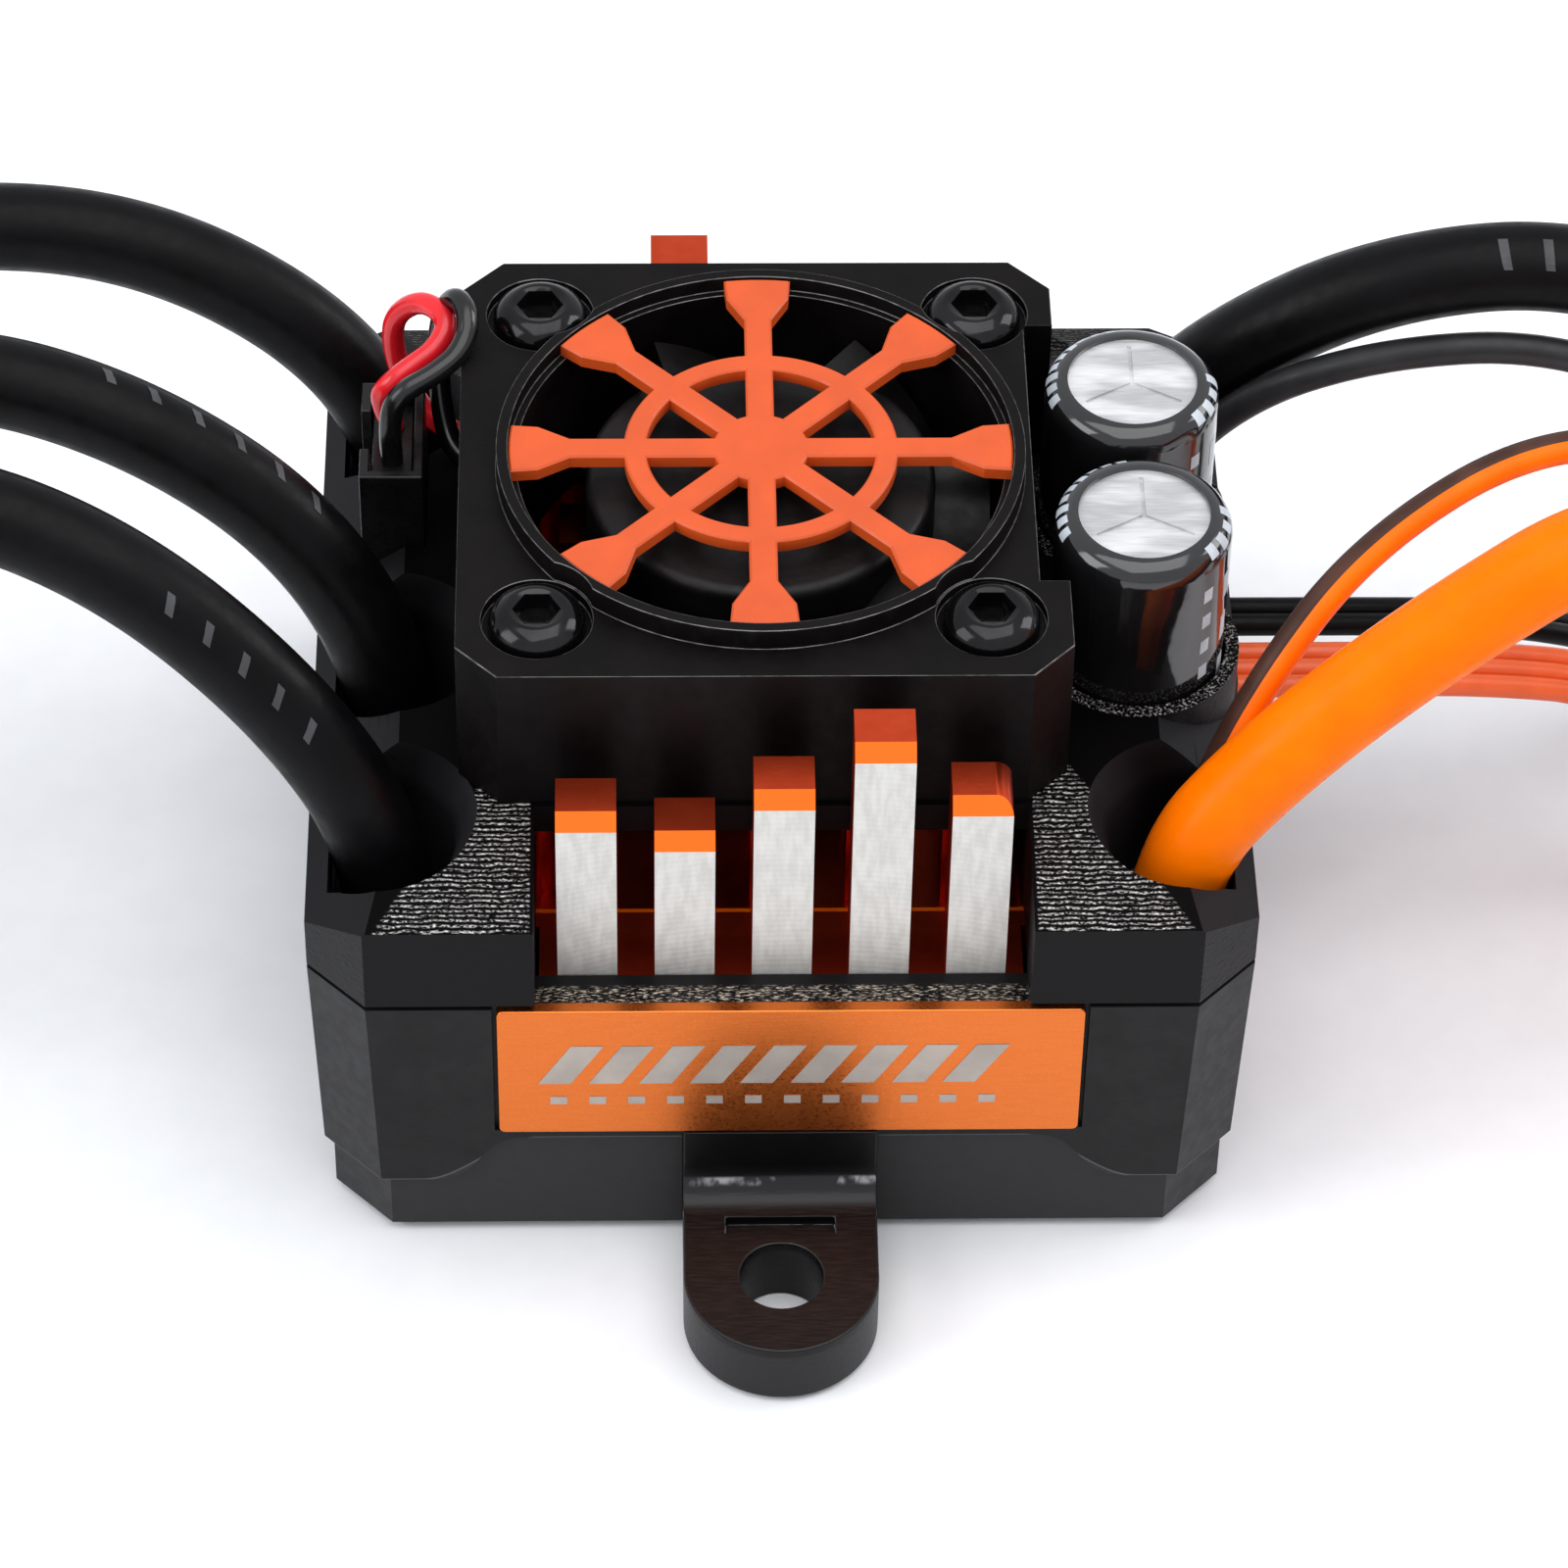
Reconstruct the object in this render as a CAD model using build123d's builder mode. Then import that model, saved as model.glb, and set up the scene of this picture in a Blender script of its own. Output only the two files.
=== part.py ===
"""Electronic speed controller for a brushless motor: a two-part case with a pin heat sink, a 30 mm fan,
two capacitors and its leads.  Millimetres, +Z up, X to the right, Y away from the front.
Origin: the middle of the case's bottom face, on the surface that it stands on."""
import os
from math import cos, pi, radians, sin, tan

from build123d import *

os.makedirs("parts", exist_ok=True)

# ---- driving dimensions -----------------------------------------------------------------------
CASE_X, CASE_Y, CORNER = 25.4, 24.8, 3.2          # half sizes at the parting line, corner chamfer
PLINTH_X, PLINTH_Y = 24.5, 24.25                  # half sizes of the stepped-in foot
FLOOR, WALL = 1.6, 1.6                            # case floor and wall
LOWER_TOP, UPPER_BASE = 18.75, 19.05              # the two sides of the parting line
ROOF, ROOF_EDGE, ROOF_SIDE = 25.8, 24.7, 22.3     # roof height at the fan, at the front edge, at the sides
ROOF_REAR = 22.7                                  # roof height at the rear edge
ROOF_FOLD_X, ROOF_FOLD_Y = 20.5, 16.6             # where the roof starts to fall
CAVITY_X, CAVITY_Y = 23.6, 23.2                   # half sizes of the hollow of the lower case
RIDGE_LOW, RIDGE_HIGH = 4.8, 8.3                  # height of the step round the foot
WINDOW_X = 13.2                                   # half width of the heat sink's window
SILL_TOP = 18.3

BADGE_X, BADGE_LENGTH, BADGE_HEIGHT, BADGE_THICK = 0.45, 31.4, 9.7, 0.6
BADGE_FACE, BADGE_LOW = 24.95, 9.0                # the badge's face from the middle, its lower edge

TAB_HALF, TAB_TOP, TAB_HOLE_Y, TAB_HOLE_R = 5.3, 4.3, 31.2, 2.25
TAB_RISER_TOP = 8.9

PIN, PIN_PITCH, PIN_FACE = 3.2, 5.2, 21.75        # heat sink pins: side, pitch, face of the outer row
SINK_BASE, SINK_FLOOR, SINK_WELL = 13.5, 17.9, 16.3
INNER_PIN_TOP = 23.4
OUTER_PIN_TOPS = {-1: [30.0, 28.5, 31.6, 35.1, 31.1],     # front row, from left to right
                  1: [30.0, 28.5, 30.4, 33.3, 30.2]}      # rear row, from right to left

FAN_X, FAN_HALF, FAN_CORNER = -0.95, 16.3, 2.2
FAN_BASE, FAN_TOP, RING_TOP = 25.8, 35.3, 36.6
BORE_R, SEAT_R, RING_R = 13.2, 13.65, 14.3        # air bore, guard seat, outside of the raised ring
FAN_SCREW = 12.0                                  # screws at plus and minus this from the fan's axis
GUARD_BASE, GUARD_TOP = 35.7, 36.5

WELL_R, WELL_RIM_R = 4.2, 5.4                     # round lead wells: bore and bevel
WELLS = {"front": (-21.6, -17.0), "middle": (-21.2, -4.0), "rear": (-22.2, 15.5),
         "battery_front": (21.7, -17.0), "battery_rear": (22.0, 16.0)}
CAPACITORS = {"front": (19.55, -4.4), "rear": (19.5, 6.1)}
CAN_R, SLEEVE_R, CAN_BASE, CAN_TOP = 4.55, 4.8, 21.6, 35.45
COLLAR_R, COLLAR_BORE, COLLAR_BASE, COLLAR_TOP = 5.7, 4.95, 21.0, 25.9

SOCKET_X, SOCKET_Y, SOCKET_BASE = -21.15, 7.35, 24.0
SOCKET_WIDE, SOCKET_DEEP, SOCKET_TALL = 3.5, 7.7, 7.0
SOCKET_PINS = [(SOCKET_X, 6.0), (SOCKET_X, 8.7)]
PLUG_BASE, PLUG_TALL = 24.75, 5.2                 # the fan's plug in the socket

BOARD_LOW, BOARD_TOP = 9.5, 11.1                  # power board
CONTROL_LOW, CONTROL_TOP = 4.0, 5.2               # control board
POST_TOP = 12.4
SCREW_X, SCREW_Y, SCREW_R = 15.9, 20.9, 1.0       # case screws

LEAD_D, THIN_D, FAN_LEAD_D = 5.0, 1.8, 1.25       # lead diameters over the insulation
RECEIVER_D, SWITCH_D = 2.25, 1.85                 # round section of the same area as the flat leads
CONNECTOR_X, CONNECTOR_LENGTH, CONNECTOR_Y, CONNECTOR_Z = 82.5, 19.0, 8.5, 8.4
CONTACT_Y, CONTACT_Z = 4.5, 4.2
PLUG_X, PLUG_Z = -90.0, 3.0                       # where the motor leads end
SWITCH_TRAVEL = 2.5


def octagon(half_x, half_y, corner):
    """A rectangle with chamfered corners, for the sketch that is open."""
    Rectangle(2 * half_x, 2 * half_y)
    chamfer(vertices(), corner)


def finish(builder, label):
    """Label a finished piece and write it as its own node."""
    builder.part.label = label
    export_step(builder.part, f"parts/{label}.step")


def both_ends(x, y):
    """A place and the one opposite it, half a turn round the vertical axis."""
    return [(x, y), (-x, -y)]


# ---- case: lower half ---------------------------------------------------------------------------
with BuildPart() as case_skin:
    # the wall above the step leans out slightly towards the parting line
    with BuildSketch(Plane.XY.offset(RIDGE_LOW - 1)):
        octagon(CASE_X - 0.45, CASE_Y - 0.15, CORNER)
    with BuildSketch(Plane.XY.offset(LOWER_TOP)):
        octagon(CASE_X, CASE_Y, CORNER)
    loft()
    # the step is low at the corners and rises in a soft S under the badge, front and rear
    with BuildSketch(Plane.XZ):
        with BuildLine():
            Line((-40, 30), (-40, RIDGE_LOW))
            Line((-40, RIDGE_LOW), (-19.0, RIDGE_LOW))
            Spline((-19.0, RIDGE_LOW), (-13.7, RIDGE_HIGH), tangents=((1, 0), (1, 0)))
            Line((-13.7, RIDGE_HIGH), (13.7, RIDGE_HIGH))
            Spline((13.7, RIDGE_HIGH), (19.0, RIDGE_LOW), tangents=((1, 0), (1, 0)))
            Line((19.0, RIDGE_LOW), (40, RIDGE_LOW))
            Line((40, RIDGE_LOW), (40, 30))
            Line((40, 30), (-40, 30))
        make_face()
    extrude(amount=30, both=True, mode=Mode.INTERSECT)

with BuildPart() as lower_case:
    with BuildSketch():
        octagon(PLINTH_X, PLINTH_Y, CORNER)
    extrude(amount=LOWER_TOP)
    chamfer(lower_case.faces().sort_by(Axis.Z)[0].edges(), 0.7)
    add(case_skin.part)
    with BuildSketch(Plane.XY.offset(FLOOR)):
        octagon(CAVITY_X, CAVITY_Y, CORNER - 0.6)
    extrude(amount=LOWER_TOP, mode=Mode.SUBTRACT)
    # thick places behind the tabs, and the sills below the windows
    with BuildSketch(Plane.XY.offset(FLOOR)):
        with Locations(*both_ends(0, CAVITY_Y - 0.6)):
            Rectangle(2 * TAB_HALF + 4, 1.6)
    extrude(amount=TAB_RISER_TOP)
    with BuildSketch(Plane.XY.offset(BOARD_TOP + 0.4)):
        with Locations(*both_ends(0, CAVITY_Y - 0.55)):
            Rectangle(2 * WINDOW_X, 1.5)
    extrude(amount=SILL_TOP - BOARD_TOP - 0.4)
    with BuildSketch(Plane.XY.offset(SILL_TOP)):
        with Locations(*both_ends(0, CAVITY_Y)):
            Rectangle(2 * WINDOW_X, 8)
    extrude(amount=5, mode=Mode.SUBTRACT)
    # screw bosses with a shoulder for the power board, and feet for the control board
    for radius, top in ((3.0, BOARD_LOW), (1.8, UPPER_BASE - 1.2)):
        with BuildSketch(Plane.XY.offset(FLOOR - 0.2)):
            with GridLocations(2 * SCREW_X, 2 * SCREW_Y, 2, 2):
                Circle(radius)
        extrude(amount=top - FLOOR + 0.2)
    with BuildSketch(Plane.XY.offset(FLOOR - 0.2)):
        with GridLocations(30, 24, 2, 2):
            Circle(1.5)
    extrude(amount=CONTROL_LOW - FLOOR + 0.2)
    with BuildSketch():
        with GridLocations(2 * SCREW_X, 2 * SCREW_Y, 2, 2):
            Circle(SCREW_R + 0.05)
    extrude(amount=20, mode=Mode.SUBTRACT)
    with BuildSketch():
        with GridLocations(2 * SCREW_X, 2 * SCREW_Y, 2, 2):
            Circle(2.1)
    extrude(amount=1.3, mode=Mode.SUBTRACT)
    # pockets for the badge plates and for the roots of the tabs
    for side in (-1, 1):
        with BuildSketch(Plane.XY.offset(BADGE_LOW - 0.1)):
            with Locations((-side * BADGE_X, side * (BADGE_FACE - BADGE_THICK + 3))):
                Rectangle(BADGE_LENGTH + 0.5, 6)
        extrude(amount=10, mode=Mode.SUBTRACT)
        with BuildSketch(Plane.XY.offset(-0.1)):
            with Locations((0, side * (CAVITY_Y + 4))):
                Rectangle(2 * TAB_HALF + 0.04, 8)
        extrude(amount=TAB_RISER_TOP + 0.1, mode=Mode.SUBTRACT)
    # notch for the flat leads in the right wall
    with BuildSketch(Plane.XY.offset(15.6)):
        with Locations((CASE_X, 4.1)):
            Rectangle(8, 9.0)
    extrude(amount=5, mode=Mode.SUBTRACT)
finish(lower_case, "lower_case")

# ---- case: upper half ---------------------------------------------------------------------------
with BuildPart() as upper_case:
    with BuildSketch(Plane.XY.offset(UPPER_BASE)):
        octagon(CASE_X, CASE_Y, CORNER)
    extrude(amount=ROOF - UPPER_BASE)
    # the roof falls steeply to the sides, gently to the front and more to the rear
    side_slope = (ROOF - ROOF_SIDE) / (CASE_X - ROOF_FOLD_X)
    with BuildSketch(Plane.XZ):
        for side in (-1, 1):
            Polygon((side * ROOF_FOLD_X, ROOF), (side * (CASE_X + 2), ROOF_SIDE - 2 * side_slope),
                    (side * (CASE_X + 2), ROOF + 2), (side * ROOF_FOLD_X, ROOF + 2), align=None)
    extrude(amount=30, both=True, mode=Mode.SUBTRACT)
    with BuildSketch(Plane.YZ):
        for side, edge in ((-1, ROOF_EDGE), (1, ROOF_REAR)):
            slope = (ROOF - edge) / (CASE_Y - ROOF_FOLD_Y)
            Polygon((side * ROOF_FOLD_Y, ROOF), (side * (CASE_Y + 2), edge - 2 * slope),
                    (side * (CASE_Y + 2), ROOF + 2), (side * ROOF_FOLD_Y, ROOF + 2), align=None)
    extrude(amount=30, both=True, mode=Mode.SUBTRACT)
    # hollow, in two steps so that the sloping sides keep their thickness
    with BuildSketch(Plane.XY.offset(UPPER_BASE)):
        octagon(CASE_X - 1.5, CASE_Y - WALL, CORNER - 0.6)
    extrude(amount=2.0, mode=Mode.SUBTRACT)
    with BuildSketch(Plane.XY.offset(UPPER_BASE)):
        Rectangle(2 * (ROOF_FOLD_X - 0.5), 2 * (CASE_Y - WALL - 0.6))
    extrude(amount=ROOF - UPPER_BASE - 3.6, mode=Mode.SUBTRACT)
    # walls beside the window press on the flanges of the heat sink
    with BuildSketch(Plane.XY.offset(SINK_FLOOR)):
        for side in (-1, 1):
            with Locations((side * (WINDOW_X + 0.65), 0)):
                Rectangle(1.3, 2 * (CAVITY_Y - 0.1))
    extrude(amount=ROOF - SINK_FLOOR - 1.4)
    # lead wells: tubes hanging from the roof
    with BuildSketch(Plane.XY.offset(16.0)):
        with Locations(*WELLS.values()):
            Circle(5.0)
        with BuildSketch(mode=Mode.INTERSECT):
            octagon(CAVITY_X - 0.1, CAVITY_Y - 0.1, CORNER - 0.6)
    extrude(amount=22.2 - 16.0)
    # collars round the capacitors
    with BuildSketch(Plane.XY.offset(COLLAR_BASE)):
        with Locations(*CAPACITORS.values()):
            Circle(COLLAR_R)
    extrude(amount=COLLAR_TOP - COLLAR_BASE)
    # bosses for the case screws
    with BuildSketch(Plane.XY.offset(UPPER_BASE - 1.1)):
        with GridLocations(2 * SCREW_X, 2 * SCREW_Y, 2, 2):
            Circle(1.8)
    extrude(amount=6.0)
    # window: open to the front and the rear, with a bar across under each end of the fan
    with BuildSketch(Plane.XY.offset(SINK_FLOOR)):
        Rectangle(2 * WINDOW_X, 28.6)
        with Locations(*both_ends(0, ROOF_FOLD_Y + 5)):
            Rectangle(2 * WINDOW_X, 10)
    extrude(amount=10, mode=Mode.SUBTRACT)
    with BuildSketch(Plane.XY.offset(SINK_FLOOR - 2)):
        Rectangle(2 * WINDOW_X, 40)
    extrude(amount=ROOF - 1.9 - SINK_FLOOR + 2, mode=Mode.SUBTRACT)
    # room for the heat sink's screw posts
    with BuildSketch(Plane.XY.offset(SINK_FLOOR - 2)):
        with Locations((FAN_X, 0)):
            with GridLocations(2 * FAN_SCREW, 2 * FAN_SCREW, 2, 2):
                Circle(2.3)
    extrude(amount=20, mode=Mode.SUBTRACT)
    # the wells' bores, with a bevel that faces the middle of the case, and the capacitors' bores
    with BuildSketch(Plane.XY.offset(10)):
        with Locations(*WELLS.values()):
            Circle(WELL_R)
        Rectangle(2 * (CASE_X - 1.2), 60, mode=Mode.INTERSECT)
    extrude(amount=30, mode=Mode.SUBTRACT)
    for x, y in WELLS.values():
        with Locations((x, y, ROOF - 1.1)):
            Cone(WELL_R, WELL_RIM_R, 2.2, mode=Mode.SUBTRACT)
    with BuildSketch(Plane.XY.offset(UPPER_BASE - 3)):
        with Locations(*CAPACITORS.values()):
            Circle(COLLAR_BORE)
    extrude(amount=20, mode=Mode.SUBTRACT)
    # seat under the fan socket, let into the roof, with two holes for its pins
    with BuildSketch(Plane.XY.offset(21.0)):
        with Locations((SOCKET_X, SOCKET_Y)):
            Rectangle(SOCKET_WIDE + 0.4, SOCKET_DEEP + 0.2)
    extrude(amount=SOCKET_BASE - 21.0)
    with BuildSketch(Plane.XY.offset(SOCKET_BASE)):
        with Locations((SOCKET_X, SOCKET_Y)):
            Rectangle(SOCKET_WIDE + 0.1, SOCKET_DEEP + 0.1)
    extrude(amount=4, mode=Mode.SUBTRACT)
    with BuildSketch(Plane.XY.offset(15)):
        with Locations(*SOCKET_PINS):
            Circle(0.5)
    extrude(amount=SOCKET_BASE - 15 + 0.1, mode=Mode.SUBTRACT)
    with BuildSketch(Plane.XY.offset(15)):
        with GridLocations(2 * SCREW_X, 2 * SCREW_Y, 2, 2):
            Circle(SCREW_R + 0.03)
    extrude(amount=22.8 - 15, mode=Mode.SUBTRACT)
finish(upper_case, "upper_case")

with BuildPart() as case_gasket:
    with BuildSketch(Plane.XY.offset(LOWER_TOP)):
        octagon(CASE_X - 0.4, CASE_Y - 0.4, CORNER)
        with BuildSketch(mode=Mode.SUBTRACT):
            octagon(CASE_X - 1.3, CASE_Y - 1.3, CORNER)
        Rectangle(2 * WINDOW_X + 2, 60, mode=Mode.SUBTRACT)
    extrude(amount=UPPER_BASE - LOWER_TOP)
finish(case_gasket, "case_gasket")

with BuildPart() as case_screws:
    for radius, top in ((1.9, 1.2), (SCREW_R, 22.6)):
        with BuildSketch(Plane.XY.offset(0.05)):
            with GridLocations(2 * SCREW_X, 2 * SCREW_Y, 2, 2):
                Circle(radius)
        extrude(amount=top)
    with BuildSketch(Plane.XY.offset(0.05)):
        with GridLocations(2 * SCREW_X, 2 * SCREW_Y, 2, 2):
            RegularPolygon(0.75, 6)
    extrude(amount=0.8, mode=Mode.SUBTRACT)
finish(case_screws, "case_screws")

# ---- mounting tabs and badge plates -------------------------------------------------------------
with BuildPart() as tab:
    # flat ear with a round end, a riser that stands in the case wall, and a worn fillet between them
    with BuildSketch():
        with Locations((0, -TAB_HOLE_Y)):
            Circle(TAB_HALF)
        with Locations((0, -(TAB_HOLE_Y + CAVITY_Y + 0.02) / 2)):
            Rectangle(2 * TAB_HALF, TAB_HOLE_Y - CAVITY_Y - 0.02)
    extrude(amount=TAB_TOP)
    with BuildSketch():
        with Locations((0, -(CAVITY_Y + 0.02 + 25.0) / 2)):
            Rectangle(2 * TAB_HALF, 25.0 - CAVITY_Y - 0.02)
    extrude(amount=TAB_RISER_TOP)
    inner_corner = tab.edges().filter_by(Axis.X).filter_by_position(Axis.Y, -25.01, -24.99)
    fillet(inner_corner.filter_by_position(Axis.Z, TAB_TOP - 0.01, TAB_TOP + 0.01), 1.9)
    chamfer(tab.faces().sort_by(Axis.Z)[0].outer_wire().edges().filter_by(GeomType.CIRCLE), 0.4)
    # hole with a wider mouth below, and a shallow slot beside the riser
    with Locations((0, -TAB_HOLE_Y, TAB_TOP)):
        Hole(TAB_HOLE_R)
    with Locations((0, -27.65, TAB_TOP - 0.3)):
        Box(6.0, 1.2, 0.8, mode=Mode.SUBTRACT)

with BuildPart() as mount_tab_front:
    add(tab.part)
finish(mount_tab_front, "mount_tab_front")
with BuildPart() as mount_tab_rear:
    add(tab.part.rotate(Axis.Z, 180))
finish(mount_tab_rear, "mount_tab_rear")

for end, side in (("front", -1), ("rear", 1)):
    with BuildPart() as badge:
        face_plane = Plane((-side * BADGE_X, side * BADGE_FACE, BADGE_LOW + BADGE_HEIGHT / 2),
                           x_dir=(1, 0, 0), z_dir=(0, -side, 0))
        with BuildSketch(face_plane):
            RectangleRounded(BADGE_LENGTH, BADGE_HEIGHT, 0.8)
        extrude(amount=BADGE_THICK - 0.02)
    finish(badge, f"badge_{end}")

# ---- heat sink ----------------------------------------------------------------------------------
with BuildPart() as heat_sink:
    with BuildSketch(Plane.XY.offset(SINK_BASE)):
        Rectangle(2 * (WINDOW_X - 0.2), 2 * (CAVITY_Y - 1.45))
    extrude(amount=SINK_FLOOR - SINK_BASE)
    # flanges held down by the upper case
    with BuildSketch(Plane.XY.offset(SINK_FLOOR - 2.4)):
        Rectangle(31.6, 36.0)
    extrude(amount=2.4)
    with BuildSketch(Plane.XY.offset(SINK_WELL)):
        Rectangle(2 * (WINDOW_X - 0.2), 2 * 16.7)
    extrude(amount=5, mode=Mode.SUBTRACT)
    # short pins under the fan
    with BuildSketch(Plane.XY.offset(SINK_WELL - 0.5)):
        with GridLocations(PIN_PITCH, PIN_PITCH, 5, 6):
            Rectangle(PIN, PIN)
    extrude(amount=INNER_PIN_TOP - SINK_WELL + 0.5)
    # tall pins beyond the fan, front row and the same row turned round at the rear
    for side in (-1, 1):
        for i, top in enumerate(OUTER_PIN_TOPS[side]):
            x = side * (2 - i) * PIN_PITCH
            with BuildSketch(Plane.XY.offset(SINK_FLOOR - 0.5)):
                with Locations((x, side * (PIN_FACE - PIN / 2))):
                    Rectangle(PIN, PIN)
            extrude(amount=top - SINK_FLOOR + 0.5)
    # posts for the fan screws
    with BuildSketch(Plane.XY.offset(SINK_BASE)):
        with Locations((FAN_X, 0)):
            with GridLocations(2 * FAN_SCREW, 2 * FAN_SCREW, 2, 2):
                Circle(2.1)
    extrude(amount=FAN_BASE - SINK_BASE)
    with BuildSketch(Plane.XY.offset(18.5)):
        with Locations((FAN_X, 0)):
            with GridLocations(2 * FAN_SCREW, 2 * FAN_SCREW, 2, 2):
                Circle(1.52)
    extrude(amount=10, mode=Mode.SUBTRACT)
    # bright chamfer on the outer top edge of every tall pin, and one rounded corner in each row
    for side in (-1, 1):
        for i, top in enumerate(OUTER_PIN_TOPS[side]):
            x = side * (2 - i) * PIN_PITCH
            row = heat_sink.edges().filter_by(Axis.X).filter_by_position(Axis.Z, top - 0.01, top + 0.01)
            outer = [e for e in row if abs(e.center().Y - side * PIN_FACE) < 0.05
                     and abs(e.center().X - x) < PIN / 2]
            chamfer(outer, 0.8)
        last_x, last_top = side * -2 * PIN_PITCH, OUTER_PIN_TOPS[side][-1]
        level = heat_sink.edges().filter_by_position(Axis.Z, last_top - 0.01, last_top + 0.01)
        across = level.filter_by(Axis.Y)
        outer = [e for e in across if abs(e.center().X - (last_x - side * PIN / 2)) < 0.05]
        fillet(outer, 0.9)
finish(heat_sink, "heat_sink")

with BuildPart() as thermal_pad:
    with BuildSketch(Plane.XY.offset(12.7)):
        RectangleRounded(25.0, 34.0, 1.0)
    extrude(amount=SINK_BASE - 12.7)
finish(thermal_pad, "thermal_pad")

# ---- boards and what stands on them -------------------------------------------------------------
LEAD_X = 20.7
LEAD_Y = {"front": -17.1, "middle": -4.0, "rear": 15.8, "battery_front": -18.2, "battery_rear": 16.9}
LEAD_FEET = [(LEAD_X if "battery" in name else -LEAD_X, y) for name, y in LEAD_Y.items()]
THIN_FEET = [(21.7, -14.8), (21.5, 13.5)]
CAN_LEGS = [(x, y + dy) for x, y in CAPACITORS.values() for dy in (-2.5, 2.5)]

with BuildPart() as main_board:
    with BuildSketch(Plane.XY.offset(BOARD_LOW)):
        octagon(CAVITY_X - 0.4, CAVITY_Y - 0.4, CORNER)
        with GridLocations(2 * SCREW_X, 2 * SCREW_Y, 2, 2):
            Circle(2.0, mode=Mode.SUBTRACT)
        with Locations(*both_ends(0, CAVITY_Y)):
            Rectangle(2 * TAB_HALF + 6, 4.0, mode=Mode.SUBTRACT)
    extrude(amount=BOARD_TOP - BOARD_LOW)
finish(main_board, "main_board")

with BuildPart() as power_transistors:
    with BuildSketch(Plane.XY.offset(BOARD_TOP)):
        with GridLocations(6.2, 10.5, 4, 3):
            RectangleRounded(5.0, 6.0, 0.3)
    extrude(amount=12.7 - BOARD_TOP)
finish(power_transistors, "power_transistors")

with BuildPart() as lead_posts:
    with BuildSketch(Plane.XY.offset(BOARD_TOP)):
        with Locations(*LEAD_FEET):
            Circle(LEAD_D / 2 + 0.1)
    extrude(amount=POST_TOP - BOARD_TOP)
    chamfer(lead_posts.edges().filter_by(GeomType.CIRCLE).group_by(Axis.Z)[-1], 0.3)
finish(lead_posts, "lead_posts")

with BuildPart() as control_board:
    with BuildSketch(Plane.XY.offset(CONTROL_LOW)):
        RectangleRounded(40.0, 34.0, 1.5)
    extrude(amount=CONTROL_TOP - CONTROL_LOW)
finish(control_board, "control_board")

with BuildPart() as control_chips:
    chips = ((-6, 2, 9, 9, 1.0), (8, 6, 5, 4, 1.5), (8, -6, 6, 5, 1.2), (-9, -10, 4, 3, 1.0))
    for x, y, width, depth, height in chips:
        with BuildSketch(Plane.XY.offset(CONTROL_TOP)):
            with Locations((x, y)):
                Rectangle(width, depth)
        extrude(amount=height)
finish(control_chips, "control_chips")

with BuildPart() as board_header:
    with BuildSketch(Plane.XY.offset(CONTROL_TOP)):
        with Locations((0, 14)):
            Rectangle(16.4, 2.4)
    extrude(amount=2.5)
    with BuildSketch(Plane.XY.offset(CONTROL_TOP + 2.4)):
        with Locations((0, 14)):
            with GridLocations(2.0, 1, 8, 1):
                Rectangle(0.64, 0.64)
    extrude(amount=BOARD_LOW - CONTROL_TOP - 2.4)
finish(board_header, "board_header")

with BuildPart() as well_seals:
    with BuildSketch(Plane.XY.offset(16.2)):
        with Locations(*WELLS.values()):
            Circle(WELL_R - 0.05)
        Rectangle(2 * (CAVITY_X - 0.15), 60, mode=Mode.INTERSECT)
        with Locations(*LEAD_FEET):
            Circle(LEAD_D / 2, mode=Mode.SUBTRACT)
        with Locations(*THIN_FEET):
            Circle(THIN_D / 2, mode=Mode.SUBTRACT)
    extrude(amount=1.4)
finish(well_seals, "well_seals")

with BuildPart() as wire_grommet:
    with BuildSketch(Plane.XY.offset(15.62)):
        with Locations((24.5, 4.1)):
            Rectangle(2.9, 8.96)
    extrude(amount=LOWER_TOP - 15.64)
    with BuildSketch(Plane.YZ.offset(22)):
        with Locations((2.2, 17.1)):
            SlotOverall(4.3, 2.5)
        with Locations((6.5, 17.1)):
            SlotOverall(3.0, 2.0)
    extrude(amount=6, mode=Mode.SUBTRACT)
finish(wire_grommet, "wire_grommet")

# ---- capacitors ---------------------------------------------------------------------------------
with BuildPart() as capacitor_board:
    with BuildSketch(Plane.XY.offset(19.4)):
        with Locations((19.5, 0.85)):
            RectangleRounded(7.6, 20.0, 0.8)
        with Locations(*CAN_LEGS):
            Circle(0.4, mode=Mode.SUBTRACT)
    extrude(amount=1.0)
finish(capacitor_board, "capacitor_board")

with BuildPart() as capacitor_legs:
    with BuildSketch(Plane.XY.offset(BOARD_TOP)):
        with Locations(*CAN_LEGS):
            Circle(0.35)
    extrude(amount=CAN_BASE - BOARD_TOP)
finish(capacitor_legs, "capacitor_legs")

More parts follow.
